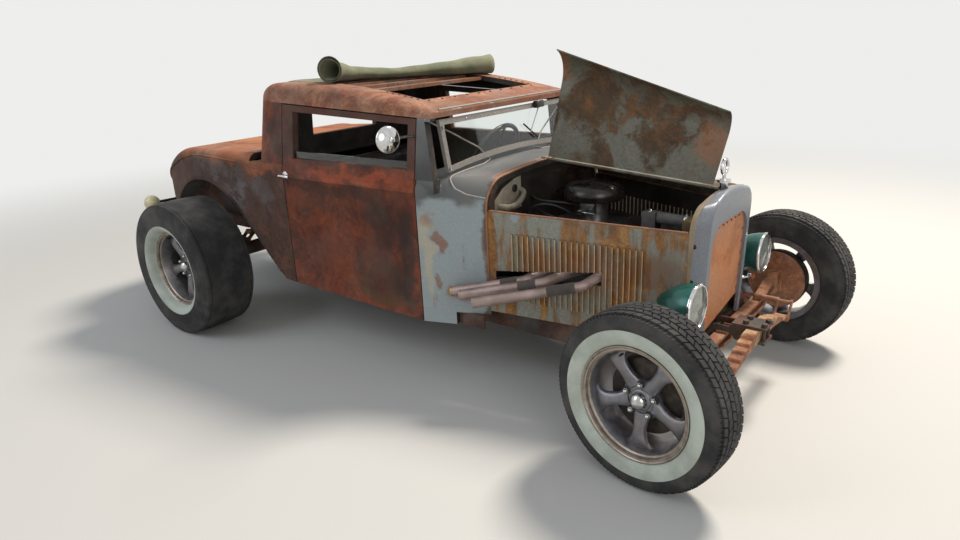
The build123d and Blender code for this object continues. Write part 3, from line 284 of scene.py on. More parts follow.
def rustyPaint(name, look):
    # Old paint with rust coming through; patches and bands place what the photo shows where it shows it.
    material, tree, shader, coords = newMaterial(name)
    rust = useGroup(tree, rustGroup, Vector=coords, Scale=look.get("scale", 4.0), Amount=look["amount"],
                    Streaks=look.get("streaks", 0.3))
    wobble = put(tree, "TexNoise", {"Vector": coords, "Scale": look.get("wobble", 9.0), "Detail": 5.0}).outputs[1]
    nudge = put(tree, "VectorMath", {0: wobble, 1: (0.5, 0.5, 0.5)}, operation="SUBTRACT").outputs[0]
    sway = put(tree, "VectorMath", {0: nudge, "Scale": look.get("sway", 0.16)}, operation="SCALE").outputs[0]
    warped = put(tree, "VectorMath", {0: coords, 1: sway}, operation="ADD").outputs[0]
    paintLow, paintHigh = look["paint"]
    paint = ramp(tree, rust["Mottle"], (0.36, paintLow), (0.62, paintHigh))
    rusted = ramp(tree, rust["Deep"], *look["rust"])
    colour = blendColour(tree, rust["Rust"], paint, rusted)
    roughness = blendValue(tree, rust["Rust"], look.get("paintRough", 0.5), look.get("rustRough", 0.86))
    split = put(tree, "SeparateXYZ", {0: warped}).outputs
    for axis, start, end, code, strength in look.get("bands", ()):
        if axis == "X":
            start, end = start + rearAxleX, end + rearAxleX
        mask = spread(tree, split[axis], min(start, end), max(start, end), *((0.0, 1.0) if end > start else (1.0, 0.0)))
        colour = blendColour(tree, sums(tree, "MULTIPLY", mask, strength), colour, tone(code))
    for centre, radii, soft, code, strength in look.get("patches", ()):
        mask = useGroup(tree, patchGroup, Vector=warped, Centre=at(*centre), Radii=radii, Soft=soft)["Mask"]
        broken = sums(tree, "MULTIPLY", mask, spread(tree, rust["Mottle"], 0.28, 0.62, 0.55, 1.0))
        colour = blendColour(tree, sums(tree, "MULTIPLY", broken, strength), colour, tone(code))
    dust = useGroup(tree, dustGroup, Vector=coords, Amount=look.get("dust", 0.25))
    colour = blendColour(tree, dust["Mask"], colour, tone(look.get("dustColour", "8d8478")))
    tree.links.new(colour, shader.inputs["Base Color"])
    tree.links.new(roughness, shader.inputs["Roughness"])
    if look.get("metallic"):
        shader.inputs["Metallic"].default_value = look["metallic"]
    addBump(tree, shader, rust["Height"], look.get("bump", 0.0012))
    return material


oldRust = ((0.30, "2c1a15"), (0.42, "4c2a1e"), (0.52, "70402a"), (0.64, "9a5c34"))
redRust = ((0.30, "26140f"), (0.42, "4a2318"), (0.52, "70351e"), (0.66, "984d28"))
darkRust = ((0.30, "1c1310"), (0.42, "2f1e18"), (0.52, "482c20"), (0.64, "6b422d"))
oliveRust = ((0.30, "241a12"), (0.42, "382a1c"), (0.52, "503a26"), (0.64, "80532f"))
paleRust = ((0.30, "4e2c20"), (0.45, "77452f"), (0.55, "98674c"), (0.66, "bd9279"))
tanRust = ((0.30, "4a2a1c"), (0.42, "764631"), (0.54, "a06a48"), (0.66, "c79a74"))
hoodRust = ((0.30, "3a2415"), (0.42, "664121"), (0.54, "93642f"), (0.66, "bb9257"))

looks = {
    "doorRust": {
        "paint": ("2b1b16", "43271c"), "rust": redRust, "amount": 0.86, "scale": 2.6, "streaks": 0.35, "dust": 0.12,
        "bands": (("Z", 0.945, 0.975, "3a2620", 0.8),),
        "patches": (
            ((1.30, -0.59, 0.70), (0.14, 0.2, 0.17), 0.6, "2a1b17", 0.85),
            ((1.44, -0.59, 0.60), (0.07, 0.2, 0.32), 0.5, "251d1b", 0.85),
            ((1.28, -0.6, 0.44), (0.24, 0.2, 0.16), 0.5, "2c211a", 0.8),
            ((1.30, -0.6, 0.36), (0.24, 0.2, 0.06), 0.8, "5a3f26", 0.7),
            ((1.05, -0.6, 0.83), (0.32, 0.2, 0.05), 0.6, "2e1b16", 0.7),
            ((1.14, -0.6, 0.905), (0.42, 0.2, 0.035), 0.5, "9a482b", 0.9),
            ((0.76, -0.61, 0.78), (0.10, 0.2, 0.08), 0.6, "86432a", 0.8),
            ((0.95, -0.6, 0.52), (0.20, 0.2, 0.16), 0.8, "66321f", 0.6),
        ),
    },
    "bodyRust": {
        "paint": ("231915", "33221d"), "rust": darkRust, "amount": 0.62, "scale": 3.0, "streaks": 0.2, "dust": 0.08,
        "bands": (("Z", 0.88, 0.97, "a9673f", 0.75),),
        "patches": (
            ((0.45, -0.6, 0.90), (0.20, 0.12, 0.03), 0.8, "9a5230", 0.8),
            ((-0.3, 0.0, 0.95), (0.5, 0.5, 0.12), 0.7, "b8794c", 0.7),
            ((0.0, -0.6, 0.80), (0.5, 0.15, 0.10), 0.8, "241915", 0.7),
        ),
    },
    "cabRust": {
        "paint": ("35211a", "4e2e21"), "rust": redRust, "amount": 0.7, "scale": 3.2, "streaks": 0.4, "dust": 0.2,
        "patches": (((0.62, -0.58, 1.08), (0.09, 0.15, 0.2), 0.5, "35231e", 0.85),),
    },
    "roofRust": {
        "paint": ("74483a", "9a6a54"), "rust": paleRust, "amount": 0.66, "scale": 5.0, "streaks": 0.0, "dust": 0.3,
        "patches": (((1.55, 0.0, 1.2), (0.10, 0.6, 0.08), 0.5, "7a4a34", 0.8),),
    },
    "cowlPaint": {
        "paint": ("8a9598", "949fa1"), "rust": hoodRust, "amount": 0.30, "scale": 6.5, "streaks": 0.5, "dust": 0.2,
        "bands": (("Z", 0.815, 0.86, "4d4f51", 0.92), ("X", 1.782, 1.792, "2a2523", 0.85)),
        "patches": (
            ((1.60, -0.55, 0.66), (0.035, 0.2, 0.06), 0.4, "7d4526", 0.9),
            ((1.60, -0.55, 0.48), (0.03, 0.2, 0.05), 0.5, "7a4a2c", 0.8),
            ((1.55, -0.55, 0.76), (0.03, 0.2, 0.05), 0.6, "83502f", 0.8),
            ((1.68, -0.53, 0.43), (0.05, 0.2, 0.05), 0.5, "86583a", 0.8),
            ((1.545, -0.56, 0.60), (0.035, 0.2, 0.26), 0.6, "b6aa8c", 0.7),
            ((1.79, -0.46, 0.60), (0.022, 0.1, 0.30), 0.5, "5a4334", 0.8),
        ),
    },
    "hoodPaint": {
        "paint": ("6d716a", "8f8e80"), "rust": hoodRust, "amount": 0.50, "scale": 6.0, "streaks": 0.75, "dust": 0.15,
        "patches": (
            ((2.17, -0.36, 0.58), (0.36, 0.2, 0.13), 0.5, "7c4a25", 0.8),
            ((2.45, -0.3, 0.60), (0.16, 0.2, 0.11), 0.6, "6b4223", 0.7),
            ((1.93, -0.43, 0.775), (0.035, 0.1, 0.022), 0.2, "8e979b", 0.95),
            ((2.35, -0.33, 0.38), (0.3, 0.2, 0.06), 0.6, "86785f", 0.7),
        ),
    },
    "panelPaint": {
        "paint": ("4e4e42", "6b695a"), "rust": oliveRust, "amount": 0.52, "scale": 4.6, "streaks": 0.1, "dust": 0.35,
        "dustColour": "5b4d38",
        "patches": (
            ((1.83, 0.06, 1.36), (0.10, 0.2, 0.12), 0.7, "8a5630", 0.8),
            ((2.55, 0.06, 1.05), (0.10, 0.2, 0.12), 0.7, "8b5733", 0.8),
        ),
    },
    "shellPaint": {
        "paint": ("6e737c", "7d828b"), "rust": oldRust, "amount": 0.12, "scale": 7.0, "streaks": 0.3, "dust": 0.15,
        "paintRough": 0.32,
    },
    "copperSheet": {
        "paint": ("b16c42", "cd8a5a"), "rust": ((0.3, "86502f"), (0.45, "aa683c"), (0.6, "cc895a"), (0.7, "dda271")),
        "amount": 0.5, "scale": 5.0, "streaks": 0.2, "dust": 0.2, "paintRough": 0.5, "rustRough": 0.7, "bump": 0.0005,
    },
    "frameRust": {
        "paint": ("1b1613", "2b201b"), "rust": darkRust, "amount": 0.6, "scale": 7.0, "streaks": 0.2, "dust": 0.3,
    },
    "axleRust": {
        "paint": ("7c4834", "9f684c"), "rust": tanRust, "amount": 0.6, "scale": 9.0, "streaks": 0.1, "dust": 0.3,
    },
    "springRust": {
        "paint": ("9d7a56", "bc976c"), "rust": tanRust, "amount": 0.55, "scale": 9.0, "streaks": 0.1, "dust": 0.2,
    },
    "slatRust": {
        "paint": ("6e4632", "8d5c40"), "rust": oldRust, "amount": 0.5, "scale": 12.0, "streaks": 0.0, "dust": 0.4,
    },
    "floorBlack": {
        "paint": ("1b1a1a", "2a2725"), "rust": oldRust, "amount": 0.35, "scale": 6.0, "streaks": 0.0, "dust": 0.4,
    },
    # painted shade: a near-black for panel faces that look into the body, where shade falls
    "innerDark": {
        "paint": ("120f0d", "1d1814"), "rust": darkRust, "amount": 0.4, "scale": 5.0, "streaks": 0.2, "dust": 0.15,
    },
    "engineBlack": {
        "paint": ("1c1d1f", "2c2d2f"), "rust": oldRust, "amount": 0.2, "scale": 9.0, "streaks": 0.2, "dust": 0.4,
        "paintRough": 0.38,
    },
    "pillarGrey": {
        "paint": ("75716d", "95908a"), "rust": oldRust, "amount": 0.34, "scale": 8.0, "streaks": 0.3, "dust": 0.3,
    },
}


def polished(name, code, rough, metallic=1.0, dust=0.15, bump=0.0, scale=40.0):
    # Chrome, cast aluminium and other bare or evenly painted metal.
    material, tree, shader, coords = newMaterial(name)
    dustMask = useGroup(tree, dustGroup, Vector=coords, Scale=9.0, Amount=dust)
    cloud = noiseValue(tree, coords, scale, 5.0, 0.6)
    dark = tuple(channel * 0.72 for channel in tone(code)[:3]) + (1,)
    base = blendColour(tree, spread(tree, cloud, 0.3, 0.7), dark, tone(code))
    colour = blendColour(tree, dustMask["Mask"], base, tone("6b5f52"))
    tree.links.new(colour, shader.inputs["Base Color"])
    tree.links.new(spread(tree, cloud, 0.3, 0.75, rough * 0.8, min(1.0, rough * 1.5)), shader.inputs["Roughness"])
    shader.inputs["Metallic"].default_value = metallic
    if bump:
        addBump(tree, shader, dustMask["Grain"], bump)
    return material


def rubber(name, code, dusty, rough=0.82, bump=0.0004):
    material, tree, shader, coords = newMaterial(name)
    dust = useGroup(tree, dustGroup, Vector=coords, Scale=7.0, Amount=0.7)
    colour = blendColour(tree, dust["Mask"], tone(code), tone(dusty))
    tree.links.new(colour, shader.inputs["Base Color"])
    shader.inputs["Roughness"].default_value = rough
    shader.inputs["Specular IOR Level"].default_value = 0.35
    addBump(tree, shader, dust["Grain"], bump)
    return material


def glassy(name, code, rough=0.02):
    material, tree, shader, coords = newMaterial(name)
    grain = useGroup(tree, dustGroup, Vector=coords, Scale=4.0, Amount=0.6)
    tree.links.new(spread(tree, grain["Mask"], 0.0, 1.0, rough, rough + 0.12), shader.inputs["Roughness"])
    shader.inputs["Base Color"].default_value = tone(code)
    shader.inputs["Transmission Weight"].default_value = 1.0
    shader.inputs["IOR"].default_value = 1.46
    return material


# Shapes

def add(whole, part, place=None, paint=0):
    # Moves a finished form into the piece, faces outwards.
    bmesh.ops.remove_doubles(part, verts=part.verts, dist=1e-5)
    bmesh.ops.recalc_face_normals(part, faces=part.faces)
    if place is not None:
        bmesh.ops.transform(part, matrix=place, verts=part.verts)
    for face in part.faces:
        face.material_index = paint
    spare = bpy.data.meshes.new("spare")
    part.to_mesh(spare)
    part.free()
    whole.from_mesh(spare)
    bpy.data.meshes.remove(spare)


def finishPiece(name, bm, paints, body, stands=(), sharp=35):
    mesh = bpy.data.meshes.new(name)
    bm.to_mesh(mesh)
    bm.free()
    for paint in paints:
        mesh.materials.append(paint)
    mesh.shade_smooth()
    mesh.set_sharp_from_angle(angle=radians(sharp))
    piece = bpy.data.objects.new(name, mesh)
    bpy.context.scene.collection.objects.link(piece)
    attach(piece, body)
    if stands:
        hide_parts(*stands)
    return piece


def spun(profile, steps=64, closed=False):
    # Points of (along, radius) turned round the Y axis.
    bm = bmesh.new()
    verts = [bm.verts.new((0, along, radius)) for along, radius in profile]
    edges = [bm.edges.new(pair) for pair in zip(verts, verts[1:])]
    if closed:
        edges.append(bm.edges.new((verts[-1], verts[0])))
    bmesh.ops.spin(bm, geom=verts + edges, cent=(0, 0, 0), axis=(0, 1, 0), angle=2 * pi, steps=steps, use_merge=True)
    return bm


def soften(bm, edges, width, segments=2):
    bmesh.ops.bevel(bm, geom=edges, offset=width, offset_type="OFFSET", affect="EDGES", segments=segments,
                    profile=0.5, material=-1)


def boxed(size, edge=0.0, segments=2, middle=(0, 0, 0)):
    bm = bmesh.new()
    bmesh.ops.create_cube(bm, size=1, matrix=Matrix.Translation(middle) @ Matrix.Diagonal((*size, 1)))
    if edge:
        soften(bm, bm.edges[:], edge, segments)
    return bm


def aimed(start, end):
    # Puts a form built along Z, from 0 up, between two points.
    start, end = Vector(start), Vector(end)
    turn = (end - start).to_track_quat("Z", "Y").to_matrix().to_4x4()
    return Matrix.Translation(start) @ turn


def rodForm(length, radius, sides=16, edge=0.0, tip=None):
    bm = bmesh.new()
    bmesh.ops.create_cone(bm, cap_ends=True, segments=sides, radius1=radius, radius2=radius if tip is None else tip,
                          depth=length, matrix=Matrix.Translation((0, 0, length / 2)))
    if edge:
        soften(bm, [e for e in bm.edges if e.calc_face_angle(0) > 0.8], edge)
    return bm


def grow(bm, edges):
    # Extrudes a row of edges; gives the new row's edges and points.
    new = bmesh.ops.extrude_edge_only(bm, edges=edges)["geom"]
    return [g for g in new if isinstance(g, bmesh.types.BMEdge)], [g for g in new if isinstance(g, bmesh.types.BMVert)]


def addRod(whole, start, end, radius, sides=16, edge=0.0, tip=None, paint=0):
    length = (Vector(end) - Vector(start)).length
    add(whole, rodForm(length, radius, sides, edge, tip), aimed(start, end), paint)


def addNut(whole, place, way, across, height, paint=0, bolt=0.0):
    # A hex nut on its washer, with the bolt's end standing out of it.
    place, way = Vector(place), Vector(way).normalized()
    addRod(whole, place, place + way * height * 0.2, across * 0.72, 20, 0.0004, paint=paint)
    addRod(whole, place + way * height * 0.2, place + way * height, across * 0.577, 6, across * 0.06, paint=paint)
    if bolt:
        addRod(whole, place + way * height, place + way * (height + bolt), across * 0.3, 12, across * 0.05, paint=paint)


def tubeForm(points, radius, steps=6, sides=2, soft=True, cap=True):
    # A bent rod or hose along a smooth line.
    data = bpy.data.curves.new("spare", "CURVE")
    data.dimensions = "3D"
    line = data.splines.new("NURBS" if soft else "POLY")
    line.points.add(len(points) - 1)
    for point, place in zip(line.points, points):
        point.co = (*place, 1)
    if soft:
        line.order_u = min(4, len(points))
        line.use_endpoint_u = True
        line.resolution_u = steps
    data.bevel_depth = radius
    data.bevel_resolution = sides
    data.use_fill_caps = cap
    spare = bpy.data.objects.new("spare", data)
    mesh = bpy.data.meshes.new_from_object(spare)
    bm = bmesh.new()
    bm.from_mesh(mesh)
    bpy.data.objects.remove(spare)
    bpy.data.curves.remove(data)
    bpy.data.meshes.remove(mesh)
    return bm


def addTube(whole, points, radius, paint=0, **options):
    add(whole, tubeForm([tuple(p) for p in points], radius, **options), None, paint)


def plateForm(outline, thick, edge=0.0):
    # A flat outline in X and Z, given its thickness along Y.
    bm = bmesh.new()
    face = bm.faces.new([bm.verts.new((x, 0, z)) for x, z in outline])
    grown = bmesh.ops.extrude_face_region(bm, geom=[face])
    moved = [v for v in grown["geom"] if isinstance(v, bmesh.types.BMVert)]
    bmesh.ops.translate(bm, verts=moved, vec=(0, thick, 0))
    if edge:
        soften(bm, bm.edges[:], edge)
    return bm


# CAD nodes whose inward faces get the painted shade
innerShadeNodes = ("door_left", "door_right", "cab_rear", "rear_body", "roof", "cowl", "hood_sides", "deck_lid")


def skinned(name, paint, body, sharp=32):
    # A smooth-shaded copy of a CAD node's mesh, its loose triangles merged first, with painted shade (a near-black)
    # where it faces inwards.
    bm = bmesh.new()
    bm.from_mesh(frame["nodes"][name].data)
    bmesh.ops.remove_doubles(bm, verts=bm.verts, dist=2e-5)
    bmesh.ops.dissolve_limit(bm, angle_limit=radians(0.5), verts=bm.verts, edges=bm.edges)
    paints = [paint]
    if name in innerShadeNodes:
        paints.append(rusty["innerDark"])
        # faces that look into the body, and the cowl's forward wall, get the painted shade
        for face in bm.faces:
            middle = face.calc_center_median()
            centre = at(min(max(middle.x - rearAxleX, 0.6), 2.45), 0, 0.85)
            wall = name == "cowl" and face.normal.x > 0.95
            if wall or face.normal.dot((centre - middle).normalized()) > 0.3:
                face.material_index = 1
    return finishPiece(name + "Skin", bm, paints, body, [name], sharp)


# Wheels and tyres

tyre = {
    "front": {"r": 0.320, "half": 0.0825, "tread": 0.062, "crown": 0.004, "bead": 0.0680, "groove": 0.0085,
              "white": (0.2085, 0.2630), "whiteFrom": 0.0625, "ribs": 120, "ribLong": 0.0052, "steps": 128},
    "rear": {"r": 0.363, "half": 0.1445, "tread": 0.128, "crown": 0.005, "bead": 0.0955, "groove": 0.0,
             "white": (0.1960, 0.2460), "whiteFrom": 0.0900, "ribs": 150, "ribLong": 0.0065, "steps": 144},
    "rows": (-0.0500, -0.0250, 0.0, 0.0250, 0.0500),
    "rowWidth": 0.0205,
    "blocks": 62,
    "blockShare": 0.86,
    "skew": 0.22,
    "ribTilt": 48,
}


def tyreProfile(which):
    size = tyre[which]
    r, half, tread = size["r"], size["half"], size["tread"]
    whiteIn, whiteOut = size["white"]
    base = r - size["groove"]
    crown, bead = size["crown"], size["bead"]
    side = [
        (tread, base - crown), (tread + (half - tread) * 0.45, r - 0.0135),
        (tread + (half - tread) * 0.50, r - 0.0185), (half - 0.0022, r - 0.0340), (half - 0.0012, r - 0.0355),
        (half - 0.0012, r - 0.0385), (half - 0.0004, r - 0.0400),
        (half - 0.0002, whiteOut + 0.006), (half - 0.0004, whiteOut + 0.0020), (half, whiteOut),
        (half - 0.0002, (whiteIn + whiteOut) / 2 + 0.008), (half - 0.0028, (whiteIn + whiteOut) / 2 - 0.006),
        (half - 0.0080, whiteIn + 0.007), (half - 0.0120, whiteIn), (half - 0.0135, whiteIn - 0.0012),
        (bead, 0.2010), (bead - 0.004, 0.1925),
    ]
    if which == "rear":  # the white wall runs down to the rim as a dish
        dish = [(half - 0.0006, whiteOut - 0.006), (half - 0.0060, whiteOut - 0.018), (half - 0.0170, 0.2150)]
        side = side[:10] + dish + [(bead + 0.014, 0.2085), (bead, 0.2010), (bead - 0.004, 0.1925)]
    top = [(tread * share, base - crown * share * share) for share in (0.75, 0.5, 0.25)]
    if which == "rear":  # one groove near the slick's edge
        cut = [(0.1175, base - 0.0052), (0.1168, base - 0.0090), (0.1148, base - 0.0090), (0.1141, base - 0.0050)]
        top = cut + top
    right = side[::-1] + top
    left = [(-along, radius) for along, radius in reversed(right)]
    return right + [(0.0, base)] + left, size


def makeTyre(name, which, body, stands, place):
    profile, size = tyreProfile(which)
    bm = bmesh.new()
    add(bm, spun(profile, size["steps"], closed=True))
    whiteIn, whiteOut = size["white"]
    for face in bm.faces:
        middle = face.calc_center_median()
        radius = hypot(middle.x, middle.z)
        outside = middle.y > size["whiteFrom"]
        face.material_index = 1 if outside and whiteIn - 0.0005 < radius < whiteOut - 0.0002 else 0
    turn = 2 * pi / tyre["blocks"]
    if which == "front":
        long = turn * size["r"] * tyre["blockShare"]
        high = size["groove"] + 0.001
        for row, along in enumerate(tyre["rows"]):
            lean = tyre["skew"] * (-1) ** row
            radius = size["r"] - 0.004 * (along / size["tread"]) ** 2 - high / 2 - 0.0004
            for k in range(tyre["blocks"]):
                block = boxed((long, tyre["rowWidth"], high), 0.0009, 1)
                for vert in block.verts:
                    vert.co.x += vert.co.y * lean * 2
                angle = turn * (k + 0.5 * (row % 2))
                swing = Matrix.Rotation(angle, 4, "Y") @ Matrix.Translation((0, along, radius))
                add(bm, block, swing)
    count = size["ribs"]
    for sign in (1, -1):
        for k in range(count):
            rib = boxed((size["ribLong"], 0.0080, 0.0060), 0.0007, 1)
            tilt = Matrix.Rotation(-sign * radians(tyre["ribTilt"]), 4, "X")
            ring = Vector((0, sign * (size["tread"] + (size["half"] - size["tread"]) * 0.27), size["r"] - 0.0125))
            add(bm, rib, Matrix.Rotation(2 * pi * k / count, 4, "Y") @ Matrix.Translation(ring) @ tilt)
    bmesh.ops.transform(bm, matrix=place, verts=bm.verts)
    return finishPiece(name, bm, [tyreRubber, whitewall], body, stands, 40)


wheel = {
    "front": {"half": 0.075, "face": 0.022, "drumIn": -0.055},
    "rear": {"half": 0.1025, "face": 0.036, "drumIn": -0.085},
    "lipR": 0.2073,
    "bedR": 0.1890,
    "barrelR": 0.1780,
    "hubR": 0.074,
    "spokes": 5,
    "lugs": 5,
    "lugCircle": 0.05715,
    "drumR": 0.139,
    "squareness": 0.72,  # 1 gives oval spokes, less squarer ones
}


def spokeForm(face):
    # One blade, wide at the rim, waisted in the middle and thick at the hub; built along Z.
    bm = bmesh.new()
    stations = (  # radius, half width, half depth, along the axle
        (0.050, 0.034, 0.017, face - 0.018), (0.072, 0.030, 0.017, face - 0.014), (0.092, 0.0245, 0.0165, face - 0.008),
        (0.115, 0.0235, 0.0150, face - 0.003), (0.138, 0.0270, 0.0135, face + 0.001),
        (0.158, 0.0350, 0.0125, face + 0.001), (0.172, 0.0450, 0.0120, face - 0.003),
        (0.1795, 0.0560, 0.0120, face - 0.007))
    ring = bmesh.ops.create_circle(bm, cap_ends=False, segments=20, radius=1)["verts"]
    edges = list({e for v in ring for e in v.link_edges})
    rows = [ring]
    for _ in stations[1:]:
        edges, row = grow(bm, edges)
        rows.append(row)
    for row, (radius, wide, deep, along) in zip(rows, stations):
        for vert in row:
            across, through = [abs(v) ** wheel["squareness"] * (1 if v > 0 else -1) for v in vert.co[:2]]
            lift = 0.004 * (1 - across * across) if through > 0 else 0.0
            up = sqrt(max(radius ** 2 - (across * wide) ** 2, 0))
            vert.co = Vector((across * wide, along + through * deep + lift, up))
    bmesh.ops.holes_fill(bm, edges=[e for e in bm.edges if e.is_boundary], sides=0)
    return bm


def makeWheel(name, which, body, stands, place):
    size = wheel[which]
    half, face = size["half"], size["face"]
    lip, bed, barrel = wheel["lipR"], wheel["bedR"], wheel["barrelR"]
    bm = bmesh.new()
    rim = spun([
        (half - 0.0005, lip - 0.0008), (half, lip - 0.0035), (half - 0.0010, lip - 0.0060),
        (half - 0.0050, lip - 0.0085), (half - 0.0060, lip - 0.0145),
        (half - 0.0135, lip - 0.0165), (half - 0.0150, lip - 0.0215),
        (half - 0.0200, barrel + 0.004), (face + 0.012, barrel + 0.0015), (face + 0.006, barrel - 0.001),
        (face - 0.020, barrel - 0.001), (-half + 0.01, barrel), (-half, barrel + 0.003), (-half, lip - 0.002),
        (-half + 0.003, lip), (-half + 0.007, lip - 0.003), (-half + 0.007, bed), (half - 0.010, bed),
        (half - 0.010, lip - 0.004), (half - 0.0045, lip)], 96, closed=True)
    add(bm, rim, None, 0)
    for part in bm.faces:
        if part.calc_center_median().y > half - 0.021:  # the machined lip
            part.material_index = 1
    for k in range(wheel["spokes"]):
        add(bm, spokeForm(face), Matrix.Rotation(2 * pi * (k + 0.5) / wheel["spokes"], 4, "Y"), 0)
    hub = wheel["hubR"]
    add(bm, spun([(face - 0.032, 0.0), (face - 0.032, hub - 0.004), (face - 0.010, hub), (face - 0.004, hub - 0.003),
                  (face - 0.0035, hub - 0.012), (face - 0.0005, hub - 0.016), (face, 0.040), (face + 0.004, 0.038),
                  (face + 0.007, 0.033), (face + 0.007, 0.0)], 60), None, 0)
    add(bm, spun([(face + 0.004, 0.0), (face + 0.004, 0.030), (face + 0.022, 0.0285), (face + 0.026, 0.0265),
                  (face + 0.031, 0.022), (face + 0.0365, 0.013), (face + 0.039, 0.006), (face + 0.0395, 0.0)], 40),
        None, 2)
    outward = Matrix.Rotation(radians(-90), 4, "X")
    for k in range(wheel["lugs"]):
        turn = Matrix.Rotation(2 * pi * k / wheel["lugs"], 4, "Y")
        lug = turn @ Matrix.Translation((0, face - 0.003, wheel["lugCircle"])) @ outward
        add(bm, rodForm(0.0035, 0.0150, 24, 0.0008), lug, 3)
        add(bm, rodForm(0.0150, 0.0105, 6, 0.0012), lug, 2)
        tip = bmesh.new()
        bmesh.ops.create_uvsphere(tip, u_segments=12, v_segments=8, radius=0.0082)
        add(bm, tip, lug @ Matrix.Translation((0, 0, 0.0150)), 2)
    drumR, inner = wheel["drumR"], size["drumIn"]
    add(bm, spun([(inner, drumR - 0.006), (inner, drumR), (inner + 0.006, drumR + 0.001),
                  (inner + 0.010, drumR - 0.003), (face - 0.034, drumR - 0.003), (face - 0.030, drumR - 0.010),
                  (face - 0.028, 0.060), (face - 0.034, 0.060), (face - 0.036, drumR - 0.012),
                  (inner + 0.004, drumR - 0.012)], 60, closed=True), None, 4)
    stem = Matrix.Rotation(radians(20), 4, "Y") @ Matrix.Translation((0, half - 0.030, 0.170)) @ outward
    add(bm, rodForm(0.022, 0.0038, 12, 0.0006), stem, 3)
    bmesh.ops.transform(bm, matrix=place, verts=bm.verts)
    return finishPiece(name, bm, [magGrey, machinedLip, brightMetal, darkMetal, drumIron], body, stands, 38)


def axleFrame(joint, outward):
    # The joint's own line, with Y pointing out of the car.
    spec = joints[joint]
    along = Vector(spec["axis"]) * outward
    turn = Matrix((along.cross(Vector((0, 0, 1))), along, Vector((0, 0, 1)))).transposed().to_4x4()
    return Matrix.Translation(spec["pos_m"]) @ turn


def makeWheels():
    for word, outward in (("left", 1), ("right", -1)):
        for which in ("front", "rear"):
            place = axleFrame(f"{which}_spin_{word}", outward)
            body = f"{which}_wheel_{word}"
            makeTyre(f"{which}Tyre_{word}", which, body, [f"{which}_tyre_{word}"], place)
            makeWheel(f"{which}Wheel_{word}", which, body, [f"{which}_wheel_{word}"], place)


# Roof canvas: one cut of cloth, rolled up from its front edge, the rest lying back over the roof

canvas = {
    "inner": 0.029,
    "outer": 0.040,
    "turns": 2.1,
    "rearX": 0.470,  # back edge of the cloth that lies flat behind the roll
    "rearHalf": 0.42,
    "lapSteps": 18,
    "steps": 60,
    "thick": 0.0022,
    "nearSwell": 1.58,
    "farSwell": 1.40,
    "route": ((0.880, -0.440), (0.790, -0.255), (0.950, 0.100), (1.106, 0.500)),  # control points of a cubic curve
}


roofLine = {"topX": 0.572, "top": 1.312, "radius": 5.0, "rearFall": 2.87}


def roofHeight(x):
    # The roof's ridge line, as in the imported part.
    behind = max(0.0, roofLine["topX"] - x)
    reach = max(0.0, x - roofLine["topX"])
    radius = roofLine["radius"]
    return roofLine["top"] - radius + sqrt(radius * radius - reach * reach) - roofLine["rearFall"] * behind * behind


def canvasPlace(share):
    # A point on the roll's line over the roof, and the line's direction there.
    a, b, c, d = [Vector((*point, 0)) for point in canvas["route"]]
    rest = 1 - share
    place = a * rest ** 3 + b * 3 * rest ** 2 * share + c * 3 * rest * share ** 2 + d * share ** 3
    way = (b - a) * rest ** 2 + (c - b) * 2 * rest * share + (d - c) * share ** 2
    return place, way.normalized()


def makeCanvas():
    bm = bmesh.new()
    inner, outer, turns = canvas["inner"], canvas["outer"], canvas["turns"]
    count = int(turns * 22)
    path = []
    for k in range(count + 1):
        share = k / count
        angle = -pi / 2 - 2 * pi * turns * (1 - share)
        radius = inner + (outer - inner) * share
        path.append((cos(angle) * radius, sin(angle) * radius + outer))
    lap = canvas["lapSteps"]
    path += [(0.0, 0.0)] * lap
    verts = [bm.verts.new((along, k, up)) for k, (along, up) in enumerate(path)]
    edges = [bm.edges.new(pair) for pair in zip(verts, verts[1:])]
    steps = canvas["steps"]
    rows = [verts]
    for _ in range(steps):
        edges, row = grow(bm, edges)
        rows.append(row)
    rearHalf = canvas["rearHalf"]
    for step, row in enumerate(rows):
        share = step / steps
        middle, long = canvasPlace(share)
        cross = Vector((long.y, -long.x, 0))
        ends = abs(2 * share - 1) ** 1.6
        swell = 0.98 + ends * ((canvas["nearSwell"] if share < 0.5 else canvas["farSwell"]) - 0.98)
        swell *= 1 + 0.030 * sin(share * 19) + 0.020 * sin(share * 43 + 1)
        flat = 0.60 + 0.40 * ends
        rear = Vector((canvas["rearX"] + 0.012 * sin(share * 8), -rearHalf + 2 * rearHalf * share, 0))
        for vert in row:
            across, index, up = vert.co
            wrinkle = noise.noise(Vector((middle.x * 9 + index * 0.11, share * 8, up * 20)))
            if index <= count:
                point = middle + cross * across * swell * (1.10 - 0.10 * ends)
                height = up * swell * flat + 0.0040 * wrinkle
            else:
                back = (index - count) / lap
                point = middle.lerp(rear, back)
                dip = noise.noise(Vector((point.x * 11, point.y * 7, 3.0)))
                height = 0.0015 + 0.006 * max(0.0, dip) - 0.004 * sin(pi * back)
            edgeDrop = 0.15 * max(0.0, abs(point.y) - 0.40) ** 1.3
            vert.co = at(point.x, point.y, roofHeight(point.x) + 0.0035 + height - edgeDrop)
    piece = finishPiece("canvasRoll", bm, [canvasCloth], "chassis", ["roof_canvas"], 60)
    thicken = piece.modifiers.new("thickness", "SOLIDIFY")
    thicken.thickness = canvas["thick"]
    thicken.offset = 0


